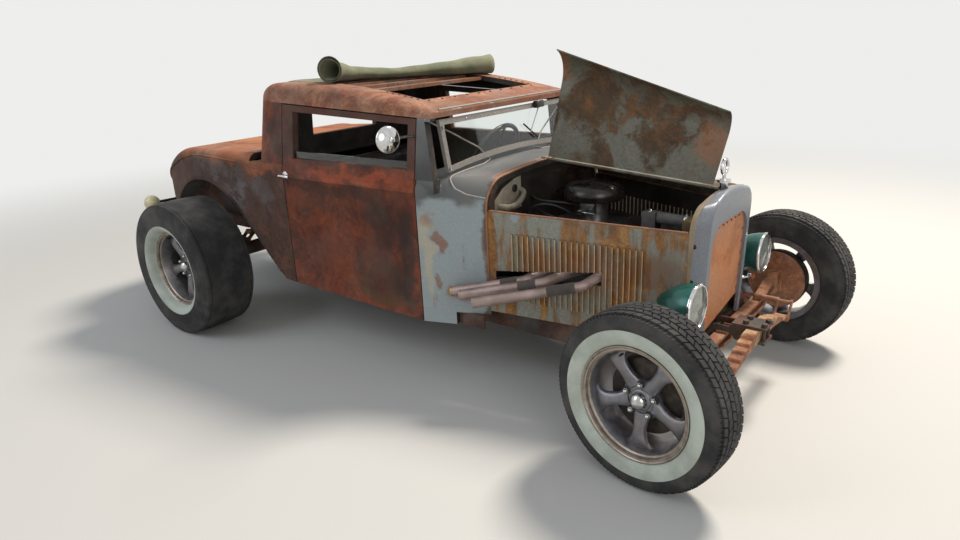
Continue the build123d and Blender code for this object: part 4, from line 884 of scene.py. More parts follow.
def clothMaterial(name, code, worn, weave=900.0):
    # Plain woven cloth: two crossing threads, faded in patches.
    material, tree, shader, coords = newMaterial(name)
    wave = {"Vector": coords, "Scale": weave / 6.28, "Distortion": 1.5}
    warp, weft = [put(tree, "TexWave", wave, bands_direction=way).outputs[1] for way in ("X", "Y")]
    threads = sums(tree, "MAXIMUM", warp, weft)
    dust = useGroup(tree, dustGroup, Vector=coords, Scale=8.0, Amount=0.8)
    faded = blendColour(tree, dust["Mask"], tone(code), tone(worn))
    shade = blendColour(tree, spread(tree, threads, 0.2, 0.9, 0.35, 0.0), faded, tone("1d1e15"))
    tree.links.new(shade, shader.inputs["Base Color"])
    shader.inputs["Roughness"].default_value = 0.88
    shader.inputs["Sheen Weight"].default_value = 0.15
    addBump(tree, shader, threads, 0.0006, 0.6)
    return material


# Seat: two cushions blown up by a cloth simulation, then sewn into channels

seat = {
    "half": 0.440,
    "base": {"x": (0.610, 1.005), "z": (0.405, 0.560), "lean": 3},
    "back": {"x": (0.475, 0.620), "z": (0.520, 0.905), "lean": -8},
    "voxel": 0.011,
    "pressure": 4.0,
    "cap": 0.016,
    "channels": 11,
}


def blowUp(piece):
    # Inflates a closed form as a stuffed cushion and keeps each point within the cap.
    scene = bpy.context.scene
    bpy.context.view_layer.objects.active = piece
    remesh = piece.modifiers.new("remesh", "REMESH")
    remesh.mode = "VOXEL"
    remesh.voxel_size = seat["voxel"]
    bpy.ops.object.modifier_apply(modifier="remesh")
    start = [v.co.copy() for v in piece.data.vertices]
    cloth = piece.modifiers.new("cloth", "CLOTH")
    cloth.settings.use_pressure = True
    cloth.settings.uniform_pressure_force = seat["pressure"]
    cloth.settings.effector_weights.gravity = 0
    cloth.point_cache.frame_start = 1
    cloth.point_cache.frame_end = 20
    for step in range(1, 21):
        scene.frame_set(step)
    bpy.ops.object.modifier_apply(modifier="cloth")
    scene.frame_set(1)
    for vert, before in zip(piece.data.vertices, start):
        move = vert.co - before
        if move.length > seat["cap"]:
            vert.co = before + move.normalized() * seat["cap"]


def makeCushion(name, which, stands=()):
    size = seat[which]
    low, high = [(x, half, z) for x, half, z in zip(size["x"], (-seat["half"], seat["half"]), size["z"])]
    bm = boxed((high[0] - low[0] - 0.024, high[1] - low[1] - 0.024, high[2] - low[2] - 0.024), 0.022, 3)
    bmesh.ops.subdivide_edges(bm, edges=[e for e in bm.edges if e.calc_length() > 0.1], cuts=3, use_grid_fill=True)
    middle = at(*[(a + b) / 2 for a, b in zip(low, high)])
    lean = Matrix.Rotation(radians(size["lean"]), 4, "Y")
    bmesh.ops.transform(bm, matrix=Matrix.Translation(middle) @ lean, verts=bm.verts)
    piece = finishPiece(name, bm, [seatLeather], "chassis", stands, 60)
    bpy.context.view_layer.objects.active = piece
    blowUp(piece)
    pitch = 2 * seat["half"] / seat["channels"]
    for vert in piece.data.vertices:
        near = abs((vert.co.y / pitch + 0.5) % 1 - 0.5)  # 0 on a channel's middle, 0.5 on its seam
        dip = 0.007 * max(0.0, (near - 0.34) / 0.16) ** 2
        inward = middle - vert.co
        inward.y = 0
        vert.co += inward.normalized() * dip
    piece.data.shade_smooth()
    smooth = piece.modifiers.new("smooth", "SUBSURF")
    smooth.levels = 1
    smooth.render_levels = 1


def leather(name, code):
    material, tree, shader, coords = newMaterial(name)
    cells = put(tree, "TexVoronoi", {"Vector": coords, "Scale": 260.0}).outputs["Distance"]
    dust = useGroup(tree, dustGroup, Vector=coords, Scale=6.0, Amount=0.6)
    colour = blendColour(tree, dust["Mask"], tone(code), tone("4a4038"))
    tree.links.new(colour, shader.inputs["Base Color"])
    tree.links.new(spread(tree, dust["Mask"], 0.0, 1.0, 0.42, 0.7), shader.inputs["Roughness"])
    addBump(tree, shader, cells, 0.0008, 0.5)
    return material


# Headlamps

headlamp = {
    "middle": (2.675, 0.380, 0.530),
    "r": 0.092,
    "foot": (2.560, 0.325, 0.3456),
}


def makeHeadlamps():
    size = headlamp
    r = size["r"]
    bucket = [(0.0, r - 0.004), (-0.006, r - 0.0035), (-0.030, r - 0.0065), (-0.060, r - 0.015), (-0.090, r - 0.0290),
              (-0.115, r - 0.046), (-0.135, r - 0.063), (-0.146, r - 0.078), (-0.150, 0.0)]
    bezel = [(-0.003, r - 0.004), (-0.001, r - 0.0005), (0.003, r), (0.0070, r - 0.0012), (0.0098, r - 0.0045),
             (0.0105, r - 0.0080), (0.0098, r - 0.0105), (0.0075, r - 0.0115), (0.0035, r - 0.0110), (0.0, r - 0.0070)]
    bowl = [(0.003, r - 0.011), (-0.010, r - 0.015), (-0.035, r - 0.032), (-0.052, r - 0.055), (-0.060, 0.012),
            (-0.060, 0.0)]
    lens = [(0.0045, r - 0.0115), (0.0085, 0.060), (0.0110, 0.040), (0.0124, 0.020), (0.0128, 0.0), (0.0098, 0.0),
            (0.0094, 0.020), (0.0080, 0.040), (0.0055, 0.060), (0.0015, r - 0.0115)]
    bm = bmesh.new()
    glass = bmesh.new()
    for side in (1, -1):
        middle = mirrored(size["middle"], side)
        face = Matrix.Translation(middle) @ Matrix.Rotation(radians(-90), 4, "Z")
        hollow = [(along * 0.98, max(0.0, radius - 0.0035)) for along, radius in bucket]
        add(bm, spun(bucket[::-1] + hollow, 56), face, 0)
        add(bm, spun(bezel, 56, closed=True), face, 1)
        # the reflector bowl is matt near-white, a painted reflection
        add(bm, spun(bowl + [(-0.0605, 0.0), (-0.0605, 0.013), (-0.0530, r - 0.053), (-0.0360, r - 0.030),
                             (-0.0110, r - 0.013), (0.0025, r - 0.0095)], 56), face, 2)
        add(glass, spun(lens, 48), face)
        bulb = bmesh.new()
        bmesh.ops.create_uvsphere(bulb, u_segments=16, v_segments=10, radius=0.013)
        add(bm, bulb, Matrix.Translation(middle + Vector((-0.028, 0, 0))), 4)
        foot = mirrored(size["foot"], side)
        under = middle + Vector((-0.085, 0, -0.060))
        stalk = [under, under + Vector((0, 0, -0.045)), foot + Vector((0, side * 0.03, 0.05)), foot]
        addTube(bm, stalk, 0.012, 3)
        addRod(bm, under + Vector((0, 0, -0.012)), under + Vector((0, 0, 0.022)), 0.020, 20, 0.003, paint=1)
        addRod(bm, foot + Vector((0, 0, -0.026)), foot + Vector((0, 0, 0.004)), 0.019, 20, 0.002, paint=3)
        for turn in (0, 130, 230):
            spot = face @ Matrix.Rotation(radians(turn), 4, "Y") @ Vector((0.0, 0.008, r - 0.0005))
            way = (spot - face @ Vector((0, 0.008, 0))).normalized()
            addNut(bm, spot - way * 0.004, way, 0.006, 0.0038, 1)
    finishPiece("lampBuckets", bm, [lampTeal, chrome, bowlSilver, rusty["frameRust"], lampWhite], "chassis",
                ["headlamps"], 35)
    finishPiece("lampLenses", glass, [lensGlass], "chassis", ["headlamp_lenses"], 50)


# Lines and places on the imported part's surface

def skinTree(*names):
    # One search tree over some CAD nodes, to lay beads and trim on their surface.
    verts, faces = [], []
    for name in names:
        mesh = frame["nodes"][name].data
        start = len(verts)
        verts += [v.co.copy() for v in mesh.vertices]
        faces += [[start + k for k in face.vertices] for face in mesh.polygons]
    return BVHTree.FromPolygons(verts, faces)


def onSide(tree, x, z, side, lift):
    # The outermost point of the body's flank at a place, moved out by lift.
    hit, normal = tree.ray_cast(at(x, side * 1.2, z), Vector((0, -side, 0)))[:2]
    return None if hit is None else hit + normal * lift


def sideLine(tree, marks, side, lift, steps=8):
    points = []
    for (x0, z0), (x1, z1) in zip(marks, marks[1:]):
        for k in range(steps):
            share = k / steps
            point = onSide(tree, between(x0, x1, share), between(z0, z1, share), side, lift)
            if point is not None:
                points.append(point)
    return points


def archPoints(w, sideZ, corner, top, low, steps=10):
    # The hood's cross-section as the CAD draws it: straight sides, round corners and a slightly crowned top.
    chord = w - corner
    rise = top - sideZ - corner
    big = (chord ** 2 + rise ** 2) / (2 * rise)
    reach = atan2(chord, big - rise)
    right = [(w, low), (w, (low + sideZ) / 2), (w, sideZ)]
    right += [(chord + corner * cos(pi / 2 * k / steps), sideZ + corner * sin(pi / 2 * k / steps))
              for k in range(1, steps + 1)]
    right += [(big * sin(reach * (1 - k / steps)), top - big + big * cos(reach * (1 - k / steps)))
              for k in range(1, steps + 1)]
    return right + [(-y, z) for y, z in reversed(right[:-1])]


bodywork = {
    "cowlX": 1.800, "cowlW": 0.460, "cowlSideZ": 0.802, "cowlCorner": 0.122, "cowlTop": 0.940,
    "shellX": 2.600, "shellW": 0.281, "shellSideZ": 0.772, "shellCorner": 0.092, "shellTop": 0.882,
    "shellLean": 2, "shellFace": 2.655,
    "sideLow": (0.356, 0.322),  # lower edge of the hood's side at the cowl and at the shell
    "beadR": 0.0052,
    "pillarBead": ((1.552, 1.200), (1.575, 1.100), (1.606, 0.967), (1.630, 0.925), (1.666, 0.890), (1.712, 0.868),
                   (1.760, 0.857), (1.796, 0.850)),
    "beltRidge": ((0.640, 0.866), (0.499, 0.894), (0.275, 0.919), (0.0, 0.927), (-0.19, 0.922), (-0.35, 0.885),
                  (-0.52, 0.815), (-0.64, 0.716)),
}


def leaning(point):
    turn = radians(bodywork["shellLean"])
    x, z = point[0] - bodywork["shellX"], point[2] - bodywork["shellSideZ"]
    return at(bodywork["shellX"] + x * cos(turn) + z * sin(turn), point[1],
              bodywork["shellSideZ"] - x * sin(turn) + z * cos(turn))


def makeBeads():
    size = bodywork
    flank = skinTree("rear_body", "deck_lid")
    pillar = skinTree("cowl")
    bm = bmesh.new()
    for side in (1, -1):
        addTube(bm, sideLine(flank, size["beltRidge"], side, 0.001), size["beadR"], 0, steps=3, sides=2)
        addTube(bm, sideLine(pillar, size["pillarBead"], side, 0.0005), size["beadR"] * 0.8, 1, steps=3, sides=2)
    arch = archPoints(size["cowlW"], size["cowlSideZ"], size["cowlCorner"], size["cowlTop"], 0.37)
    addTube(bm, [at(size["cowlX"] - 0.004, y * 1.004, z + 0.002) for y, z in arch], 0.0050, 2, steps=2, sides=2)
    addTube(bm, [at(size["cowlX"] - 0.018, y * 1.004, z + 0.002) for y, z in arch], 0.0032, 1, steps=2, sides=2)
    addTube(bm, [at(size["cowlX"] - 0.031, y * 1.005, z + 0.003) for y, z in arch], 0.0048, 2, steps=2, sides=2)
    finishPiece("bodyBeads", bm, [rusty["bodyRust"], rusty["pillarGrey"], copperEdge], "chassis", (), 60)


def hoodSidePlace(side, u, out, z):
    # A place on the hood's side sheet: u along it from the cowl, out from its face.
    size = bodywork
    run = Vector((size["shellX"] - size["cowlX"], side * (size["shellW"] - size["cowlW"]), 0))
    way = run.normalized()
    outward = Vector((-way.y, way.x, 0)) * side
    return at(size["cowlX"], side * size["cowlW"], z) + way * u + outward * out


louvers = {"first": 0.102, "pitch": 0.0234, "count": 24, "width": 0.008, "topDrop": 0.084, "footRise": 0.066,
           "slotFrom": 0.028, "slotTo": 0.4905, "slotHalf": 0.027, "slotZ": (0.513, 0.588)}


def makeLouverEdges():
    size, lou = bodywork, louvers
    run = hypot(size["shellX"] - size["cowlX"], size["shellW"] - size["cowlW"])
    bm = bmesh.new()
    for side in (1, -1):
        for k in range(lou["count"]):
            u = lou["first"] + k * lou["pitch"]
            share = u / run
            high = between(size["cowlSideZ"], size["shellSideZ"], share) - 0.002 - lou["topDrop"]
            low = between(*size["sideLow"], share) + lou["footRise"]
            slot = between(*lou["slotZ"], share)
            spans = [(low, high)]
            if lou["slotFrom"] < u < lou["slotTo"]:
                spans = [(low, slot - lou["slotHalf"]), (slot + lou["slotHalf"], high)]
            for start, end in spans:
                foot = hoodSidePlace(side, u + lou["width"] + 0.0003, lou["width"] - 0.0012, start + 0.001)
                head = hoodSidePlace(side, u + lou["width"] + 0.0003, lou["width"] - 0.0012, end - 0.001)
                addRod(bm, foot, head, 0.0019, 8)
            if side > 0:  # daylight in the far side's slits, seen across the engine bay
                foot = hoodSidePlace(side, u + 0.004, -0.0032, high - 0.085)
                addRod(bm, foot, hoodSidePlace(side, u + 0.004, -0.0032, high - 0.002), 0.0026, 8, paint=1)
    finishPiece("louverEdges", bm, [louverEdge, slitLight], "chassis", (), 60)


# Radiator shell: tape where the hood lies on it, pins through the insert, mounting bolts

shellTrim = {"tape": 0.020, "thick": 0.0014, "pins": 7, "pinR": 0.0042, "insertHalf": 0.180}


def makeShellTrim():
    size = bodywork
    bm = bmesh.new()
    arch = archPoints(size["shellW"], size["shellSideZ"], size["shellCorner"], size["shellTop"], 0.40, 12)
    ribbon = bmesh.new()
    verts = [ribbon.verts.new(leaning((size["shellX"] - 0.004, y * 1.003, z + 0.0012))) for y, z in arch]
    edges = [ribbon.edges.new(pair) for pair in zip(verts, verts[1:])]
    bmesh.ops.translate(ribbon, verts=grow(ribbon, edges)[1], vec=(shellTrim["tape"], 0, 0))
    bmesh.ops.recalc_face_normals(ribbon, faces=ribbon.faces)
    bmesh.ops.solidify(ribbon, geom=ribbon.faces[:], thickness=shellTrim["thick"])
    add(bm, ribbon, None, 0)
    face = size["shellFace"] - 0.011
    half = shellTrim["insertHalf"]
    for k in range(shellTrim["pins"]):
        z = 0.37 + k * 0.053
        for side in (1, -1):
            pin = leaning((face, side * half, z))
            addRod(bm, pin, pin + Vector((0.0045, 0, 0)), shellTrim["pinR"], 12, 0.0010, paint=1)
    for k in range(6):
        pin = leaning((face, -0.11 + 0.044 * k, 0.762))
        addRod(bm, pin, pin + Vector((0.0045, 0, 0)), shellTrim["pinR"], 12, 0.0010, paint=1)
    for side in (1, -1):
        for z in (0.42, 0.58, 0.72):
            spot = leaning((size["shellX"] + 0.014, side * (size["shellW"] - 0.0135), z))
            addNut(bm, spot, (0, side, 0), 0.012, 0.006, 2)
    finishPiece("shellTrim", bm, [tapeCloth, copperEdge, darkMetal], "chassis", (), 45)


# Mirror, handles, wiper

mirrorArm = {"foot": (1.493, -0.5436, 1.105), "bend": (1.535, -0.640, 1.118), "head": (1.603, -0.800, 1.131),
             "way": (1.0, -0.25, 0.05), "r": 0.052}


def makeMirror():
    size = mirrorArm
    r = size["r"]
    head = at(*size["head"])
    bm = bmesh.new()
    turn = Vector(size["way"]).to_track_quat("Y", "Z").to_matrix().to_4x4()
    place = Matrix.Translation(head) @ turn
    dome = [
        (-0.0050, 0.0), (-0.0050, r - 0.005), (-0.0058, r - 0.003), (-0.0040, r - 0.0005), (-0.001, r),
        (0.003, r - 0.0008), (0.0075, r - 0.006), (0.0120, r - 0.016), (0.0155, r - 0.028), (0.0178, r - 0.040),
        (0.0185, 0.0)]
    add(bm, spun(dome, 64), place, 0)
    add(bm, spun([(-0.0062, 0.0), (-0.0062, r - 0.006), (-0.0052, r - 0.006), (-0.0052, 0.0)], 48), place, 1)
    foot, bend = at(*size["foot"]), at(*size["bend"])
    addTube(bm, [foot, foot.lerp(bend, 0.6), bend, bend.lerp(head, 0.3), head + Vector((0.004, 0.02, 0.0))], 0.0066, 0)
    addRod(bm, foot + Vector((0, 0.004, 0)), foot + Vector((0.001, -0.006, 0.001)), 0.016, 24, 0.002, paint=0)
    neck = head + Vector((0.015, 0.0, 0.0))
    addRod(bm, neck - Vector((0.004, 0, 0)), neck + Vector((0.009, -0.002, 0)), 0.009, 16, 0.002, paint=0)
    finishPiece("doorMirror", bm, [chrome, mirrorMetal], "door_right", ["mirror"], 50)


handle = {"x": 0.682, "wall": 0.6191, "z": 0.884, "out": 0.034, "barR": 0.0078, "postR": 0.0064}


def makeHandles():
    for word, side in (("left", 1), ("right", -1)):
        bm = bmesh.new()
        wall = handle["wall"]
        post = at(handle["x"], side * wall, handle["z"])
        out = Vector((0, side * handle["out"], 0))
        addRod(bm, post, post + out, handle["postR"], 16, paint=0)
        addRod(bm, post, post + Vector((0, side * 0.0065, 0)), 0.019, 24, 0.002, paint=0)
        start, end = post + out + Vector((-0.0132, 0, 0)), post + out + Vector((0.0632, 0, 0))
        addRod(bm, start, end, handle["barR"], 20, 0.003, paint=0)
        keyhole = at(handle["x"] + 0.004, side * (wall + 0.0005), handle["z"] - 0.040)
        addRod(bm, keyhole, keyhole + Vector((0, side * 0.003, 0)), 0.008, 20, 0.001, paint=1)
        finishPiece("doorHandle_" + word, bm, [chrome, darkMetal], "door_" + word, (), 45)


windshield = {"top": (1.571, 0.0, 1.166), "tilt": -10, "half": 0.478}


def makeWindshieldTrim():
    # A wiper with its motor, wing nuts at the frame's feet and hinge screws along the header.
    size = windshield
    place = Matrix.Translation(at(*size["top"])) @ Matrix.Rotation(radians(size["tilt"]), 4, "Y")
    bm = bmesh.new()

    def spot(x, y, z):
        return place @ Vector((x, y, z))

    add(bm, boxed((0.030, 0.060, 0.034), 0.006, 2, (0.028, 0.235, -0.010)), place, 1)
    addRod(bm, spot(0.012, 0.235, -0.022), spot(0.030, 0.235, -0.022), 0.007, 16, 0.001, paint=0)
    addRod(bm, spot(0.026, 0.235, -0.022), spot(0.017, 0.150, -0.130), 0.0030, 10, paint=0)
    addRod(bm, spot(0.0125, 0.205, -0.165), spot(0.0125, 0.105, -0.090), 0.0042, 8, paint=2)
    for side in (1, -1):
        for z in (-0.030, -0.205):
            nut = spot(0.010, side * (size["half"] - 0.012), z)
            addRod(bm, nut, nut + Vector((0.006, 0, 0)), 0.0075, 16, 0.001, paint=0)
            addRod(bm, nut + Vector((0.005, 0, -0.010)), nut + Vector((0.005, 0, 0.010)), 0.0028, 8, paint=0)
    for k in range(9):
        screw = spot(0.0085, -0.40 + 0.10 * k, -0.012)
        addRod(bm, screw, screw + Vector((0.0022, 0, 0)), 0.0038, 12, 0.0008, paint=0)
    finishPiece("windshieldTrim", bm, [chrome, darkMetal, blackCable], "chassis", (), 45)


# Roof: snaps for the canvas round the opening, and a rail along the header

roofTrim = {"holeRear": 0.610, "holeFront": 1.430, "holeHalf": 0.400, "snapPitch": 0.082, "snapR": 0.0058}


def makeRoofTrim():
    size = roofTrim
    bm = bmesh.new()
    shell = skinTree("roof")

    def snap(x, y):
        hit, normal = shell.ray_cast(at(x, y, 1.6), Vector((0, 0, -1)))[:2]
        if hit is not None and normal.z > 0.6:
            addRod(bm, hit - normal * 0.001, hit + normal * 0.0035, size["snapR"], 12, 0.0016, paint=0)

    count = int(2 * size["holeHalf"] / size["snapPitch"])
    for k in range(count + 1):
        snap(size["holeFront"] + 0.022, -size["holeHalf"] + 0.01 + k * (2 * size["holeHalf"] - 0.02) / count)
    for side in (1, -1):
        for k in range(6):
            snap(size["holeRear"] + 0.62 + k * size["snapPitch"] * 0.45, side * (size["holeHalf"] + 0.020))
    rail = []
    for k in range(25):
        y = -0.47 + 0.94 * k / 24
        hit = shell.ray_cast(at(1.575, y, 1.6), Vector((0, 0, -1)))[0]
        if hit is not None:
            rail.append(hit + Vector((0, 0, 0.0015)))
    addTube(bm, rail, 0.0048, 1, steps=2, sides=2)
    finishPiece("roofTrim", bm, [darkMetal, rusty["pillarGrey"]], "chassis", (), 50)


# Lamps at the corners

cornerLamp = {"marker": (2.663, 0.275, 0.452), "markerFoot": (2.630, 0.240, 0.447), "tail": (-0.560, 0.700, 0.622),
              "tailFoot": (-0.560, 0.535, 0.618)}


def makeSmallLamps():
    bm = bmesh.new()
    for side in (1, -1):
        marker, stalk = mirrored(cornerLamp["marker"], side), mirrored(cornerLamp["markerFoot"], side)
        addTube(bm, [stalk, stalk.lerp(marker, 0.5) + Vector((-0.003, 0, 0)), marker], 0.0055, 1)
        place = Matrix.Translation(marker) @ Matrix.Rotation(radians(-90), 4, "Z")
        add(bm, spun([(-0.015, 0.0), (-0.0145, 0.006), (-0.009, 0.0125), (0.0, 0.0155), (0.003, 0.0155),
                      (0.003, 0.0)], 32), place, 1)
        add(bm, spun([(0.0028, 0.0), (0.0028, 0.0140), (0.006, 0.0135), (0.011, 0.0095), (0.0145, 0.004),
                      (0.0155, 0.0)], 32), place, 0)
        tail, root = mirrored(cornerLamp["tail"], side), mirrored(cornerLamp["tailFoot"], side)
        addRod(bm, root, tail, 0.0088, 14, paint=2)
        egg = Matrix.Translation(tail) @ Matrix.Rotation(radians(90), 4, "Z")
        add(bm, spun([(-0.045, 0.0), (-0.043, 0.014), (-0.034, 0.030), (-0.018, 0.041), (0.0, 0.0455), (0.008, 0.0455),
                      (0.008, 0.0)], 48), egg, 3)
        add(bm, spun([(0.006, 0.0380), (0.006, 0.0458), (0.012, 0.0458), (0.016, 0.0430), (0.016, 0.0380)], 48,
                     closed=True), egg, 1)
        add(bm, spun([(0.010, 0.0), (0.010, 0.0385), (0.020, 0.0370), (0.030, 0.0290), (0.037, 0.0150),
                      (0.039, 0.0)], 48), egg, 4)
    finishPiece("cornerLamps", bm, [amber, chrome, darkMetal, cream, tailRed], "chassis",
                ["small_lamps"], 45)


# Engine bay: firewall fittings, hose clamps and ribs, cables, and a welt on each hood side's top edge

engineBay = {
    "wallX": 1.7945,  # just ahead of the firewall's face
    "panel": ((-0.400, 0.765), (-0.205, 0.765), (-0.205, 0.905), (-0.255, 0.900), (-0.340, 0.872), (-0.400, 0.830)),
    "hole": (-0.256, 0.858),
    "handle": ((-0.368, 0.800), (-0.330, 0.790), (-0.250, 0.797), (-0.212, 0.842)),
    "hose": ((2.332, -0.05, 0.755), (2.505, -0.05, 0.749)),
    "hoseRibs": 15,
    "carburettor": (2.043, 0.0, 0.765),
    "cables": (
        ((1.800, -0.130, 0.800), (1.850, -0.150, 0.770), (1.930, -0.110, 0.790), (2.010, -0.050, 0.760)),
        ((1.800, -0.100, 0.740), (1.870, -0.190, 0.750), (1.960, -0.190, 0.720), (2.060, -0.120, 0.700)),
        ((1.800, -0.190, 0.720), (1.860, -0.210, 0.800), (1.930, -0.170, 0.800), (1.980, -0.090, 0.730)),
        ((1.800, 0.080, 0.780), (1.880, 0.060, 0.830), (1.950, 0.030, 0.800), (2.000, 0.020, 0.770)),
    ),
}


def makeEngineBay():
    size = engineBay
    wall = size["wallX"]
    bm = bmesh.new()
    turn = Matrix.Translation(at(wall, 0, 0)) @ Matrix.Rotation(radians(90), 4, "Z")
    add(bm, plateForm(size["panel"], 0.003, 0.001), turn, 0)
    y, z = size["hole"]
    addRod(bm, at(wall - 0.002, y, z), at(wall + 0.006, y, z), 0.017, 28, 0.0015, paint=1)
    addRod(bm, at(wall + 0.004, y, z), at(wall + 0.0068, y, z), 0.012, 28, paint=3)
    loop = [at(wall + 0.002, *size["handle"][0])] + [at(wall + 0.030, *spot) for spot in size["handle"]]
    loop.append(at(wall + 0.002, *size["handle"][-1]))
    addTube(bm, loop, 0.0125, 0)
    start, end = at(*size["hose"][0]), at(*size["hose"][1])
    for k in range(size["hoseRibs"]):
        rib = start.lerp(end, (k + 0.5) / size["hoseRibs"])
        addRod(bm, rib - Vector((0.0022, 0, 0)), rib + Vector((0.0022, 0, 0)), 0.0245, 28, 0.0012, paint=4)
    for share in (0.04, 0.93):
        clamp = start.lerp(end, share)
        addRod(bm, clamp - Vector((0.006, 0, 0)), clamp + Vector((0.006, 0, 0)), 0.0262, 28, 0.001, paint=2)
        addRod(bm, clamp + Vector((0, -0.010, 0.026)), clamp + Vector((0, 0.010, 0.026)), 0.0050, 10, 0.0008, paint=2)
    for route in size["cables"]:
        addTube(bm, [at(*spot) for spot in route], 0.0052, 3)
    x, y, z = size["carburettor"]
    for side in (1, -1):
        add(bm, boxed((0.075, 0.040, 0.060), 0.007, 2, at(x, side * 0.048, z - 0.012)), None, 5)
        addRod(bm, at(x - 0.030, side * 0.066, z - 0.030), at(x - 0.030, side * 0.078, z - 0.030), 0.012, 16, 0.002,
               paint=5)
        addRod(bm, at(x + 0.022, side * 0.050, z - 0.012), at(x + 0.022, side * 0.092, z - 0.012), 0.0038, 10,
               paint=2)
    link = [at(x - 0.04, -0.075, z - 0.030), at(x, -0.098, z - 0.020), at(x + 0.045, -0.075, z - 0.030)]
    addTube(bm, link, 0.0035, 2)
    finishPiece("engineBayParts", bm, [wallBeige, darkMetal, brightMetal, blackCable, hoseRubber, castMetal], "chassis",
                (), 45)
    run = hypot(bodywork["shellX"] - bodywork["cowlX"], bodywork["shellW"] - bodywork["cowlW"])
    welt = bmesh.new()
    for side in (1, -1):
        points = []
        for k in range(17):
            share = (k + 0.15) / 16.3
            z = between(bodywork["cowlSideZ"], bodywork["shellSideZ"], share)
            points.append(hoodSidePlace(side, run * share, -0.0015, z + 0.001))
        addTube(welt, points, 0.0042, 0, steps=1, sides=2)
    finishPiece("hoodWelts", welt, [rusty["axleRust"]], "chassis", (), 60)


# Exhaust: cloth wraps on the elbows and a weld at each open end

pipes = {
    "rows": ((2.2502, 0.060, 0.017, 0.400, 0.645, 0.464), (2.0901, 0.060, 0.006, 0.343, 0.600, 0.464),
             (1.9850, 0.029, 0.006, 0.317, 0.560, 0.452)),  # x, elbow's reach, drop, tip's run back, tip y, tip z
    "r": 0.021,
}


def makePipeWraps():
    size = bodywork
    bm = bmesh.new()
    for side in (1, -1):
        for number, (x, reach, drop, back, tipY, tipZ) in enumerate(pipes["rows"]):
            share = (x - size["cowlX"]) / (size["shellX"] - size["cowlX"])
            out = between(size["cowlW"], size["shellW"], share)
            z = between(*louvers["slotZ"], share)
            elbow = at(x - reach / 3, side * (out + reach), z - drop)
            tip = at(x - back, side * tipY, tipZ)
            way = (tip - elbow).normalized()
            first = elbow + way * 0.030
            for turn in range(9 if number == 0 else 6):
                band = first + way * 0.0125 * turn
                addRod(bm, band, band + way * 0.0135, pipes["r"] + 0.0016, 28, 0.0010, tip=pipes["r"] + 0.0008,
                       paint=0)
            outer = pipes["r"] + 0.0012
            ring = spun([(0.0, 0.0190), (0.0, outer), (0.0065, outer), (0.0065, 0.0190)], 36, closed=True)
            place = Matrix.Translation(tip - way * 0.006) @ way.to_track_quat("Y", "Z").to_matrix().to_4x4()
            add(bm, ring, place, 2 if number == 2 else 1)
    finishPiece("pipeWraps", bm, [wrapCloth, pipeSteel, yellowTip], "chassis", (), 50)


def makeFloor():
    mesh = bpy.data.meshes.new("floor")
    bm = bmesh.new()
    bmesh.ops.create_grid(bm, x_segments=1, y_segments=1, size=floorLook["size"] / 2)
    bm.to_mesh(mesh)
    bm.free()
    ground = bpy.data.objects.new("floor", mesh)
    bpy.context.scene.collection.objects.link(ground)
    material, tree, shader, coords = newMaterial("paleFloor")
    speck = noiseValue(tree, coords, floorLook["grain"], 2.0)
    colour = blendColour(tree, spread(tree, speck, 0.3, 0.7, 0.0, 0.08), tone(floorLook["colour"]), tone("a9a7a2"))
    tree.links.new(colour, shader.inputs["Base Color"])
    shader.inputs["Roughness"].default_value = 0.9
    shader.inputs["Specular IOR Level"].default_value = 0.2
    # Away from the car the floor runs into the pale background without a horizon.
    far = put(tree, "VectorMath", {0: coords}, operation="LENGTH").outputs["Value"]
    path = put(tree, "LightPath")
    seen = sums(tree, "MAXIMUM", path.outputs["Is Camera Ray"], path.outputs["Is Glossy Ray"])
    share = sums(tree, "MULTIPLY", spread(tree, far, floorLook["fadeFrom"], floorLook["fadeTo"]), seen)
    pale = put(tree, "Emission", {"Color": tone(surroundings["seen"]), "Strength": 1.0})
    both = put(tree, "MixShader", {0: share, 1: shader.outputs[0], 2: pale.outputs[0]})
    tree.links.new(both.outputs[0], tree.nodes["Material Output"].inputs[0])
    mesh.materials.append(material)


makeCamera()
makeLights()
makeFloor()
print("camera, lights and floor made")

rusty = {name: rustyPaint(name, look) for name, look in looks.items()}
tyreRubber = rubber("tyreRubber", "242426", "55534f")
whitewall = rubber("whitewall", "b9c1b6", "8f9488", 0.6, 0.0001)
hoseRubber = rubber("hoseRubber", "6d6c6a", "4c4a48", 0.6)
blackCable = rubber("blackCable", "17171a", "3a3836", 0.5, 0.0001)
magGrey = polished("magGrey", "84848a", 0.36, 0.75, 0.5)
machinedLip = polished("machinedLip", "a69c92", 0.32, 0.85, 0.6)
brightMetal = polished("brightMetal", "c9c9c6", 0.16)
darkMetal = polished("darkMetal", "3b3b3e", 0.4, 0.8, 0.4)
drumIron = polished("drumIron", "2b2725", 0.7, 0.4, 0.6)
chrome = polished("chrome", "dcdcdc", 0.07, 1.0, 0.08)
mirrorMetal = polished("mirrorMetal", "e4e4e2", 0.10, 1.0, 0.1)
# the reflector bowl is a matt near-white, a painted reflection of bright surroundings in place of a silvered mirror
bowlSilver = polished("bowlSilver", "f6f6f2", 0.5, 0.0, 0.05)
castMetal = polished("castMetal", "9a9a98", 0.32, 0.9, 0.4)
cleanerBlack = polished("cleanerBlack", "111113", 0.25, 0.3, 0.3)
lampTeal = polished("lampTeal", "1c5e57", 0.22, 0.35, 0.2, 0.0, 12.0)
lampWhite = glassy("lampWhite", "f4f1e6", 0.2)
lensGlass = glassy("lensGlass", "f2f7f6", 0.02)
windowGlass = glassy("windowGlass", "eef4f2", 0.01)
canvasCloth = clothMaterial("canvasCloth", "63674c", "8b8b70")
seatLeather = leather("seatLeather", "2a2220")
pipeSteel = polished("pipeSteel", "ad9792", 0.4, 0.5, 0.5, 0.0, 14.0)
brass = polished("brass", "6d5c3c", 0.5, 0.7, 0.7)
amber = glassy("amberLens", "e8712a", 0.15)
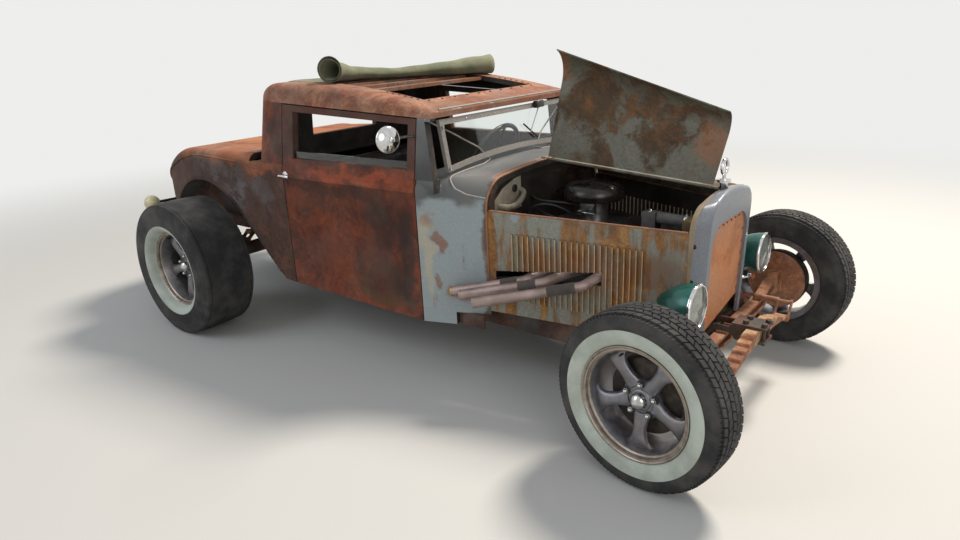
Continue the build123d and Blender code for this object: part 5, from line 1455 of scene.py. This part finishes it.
cream = polished("creamLens", "e8ddb0", 0.3, 0.0, 0.2)
tailRed = glassy("tailRed", "a01814", 0.12)
copperEdge = polished("copperEdge", "a5714f", 0.5, 0.5, 0.5)
louverEdge = polished("louverEdge", "d8b684", 0.6, 0.0, 0.4)
slitLight = polished("slitLight", "f6ead0", 0.7, 0.0, 0.1)
yellowTip = polished("yellowTip", "b89c52", 0.4, 0.8, 0.3)
tapeCloth = clothMaterial("tapeCloth", "a08e74", "75664f")
wallBeige = polished("wallBeige", "a89f8b", 0.6, 0.0, 0.6)
wrapCloth = clothMaterial("wrapCloth", "4a443f", "6c5f58")
wheelBlack = polished("wheelBlack", "151516", 0.3, 0.1, 0.3)
print("materials made")

makeWheels()
print("wheels and tyres made")

bodyOf = {node: body for body, members in frame["record"]["behaviour"]["bodies"].items() for node in members}
skins = {
    "door_left": rusty["doorRust"], "door_right": rusty["doorRust"], "rear_body": rusty["bodyRust"],
    "deck_lid": rusty["bodyRust"], "cab_rear": rusty["cabRust"], "roof": rusty["roofRust"], "cowl": rusty["cowlPaint"],
    "hood_sides": rusty["hoodPaint"], "hood_top_left": rusty["panelPaint"], "hood_top_right": rusty["panelPaint"],
    "hood_hinge": rusty["panelPaint"], "radiator_shell": rusty["shellPaint"], "grille_insert": rusty["copperSheet"],
    "frame": rusty["frameRust"], "front_crossmember": rusty["frameRust"], "front_axle": rusty["axleRust"],
    "rear_axle": rusty["frameRust"], "leaf_springs": rusty["springRust"], "knuckle_left": rusty["axleRust"],
    "knuckle_right": rusty["axleRust"], "tie_rod": rusty["axleRust"], "engine_block": rusty["engineBlack"],
    "carburettor": castMetal, "air_cleaner": cleanerBlack, "radiator_hose": hoseRubber, "radiator_core": brass,
    "radiator_cap": chrome, "exhaust_pipes": pipeSteel, "windshield_frame": rusty["pillarGrey"],
    "windshield_glass": windowGlass, "door_glass_right": windowGlass, "roof_slats": rusty["slatRust"],
    "floor": rusty["floorBlack"],
    "steering_wheel": wheelBlack,
}
for name, paint in skins.items():
    skinned(name, paint, bodyOf[name])
print("body panels dressed")

makeCanvas()
makeCushion("seatBase", "base", ["seat"])
makeCushion("seatBack", "back")
makeHeadlamps()
makeSmallLamps()
print("canvas, seat and lamps made")

makeBeads()
makeLouverEdges()
makeShellTrim()
makeMirror()
makeHandles()
makeWindshieldTrim()
makeRoofTrim()
makePipeWraps()
makeEngineBay()
print("trim made")
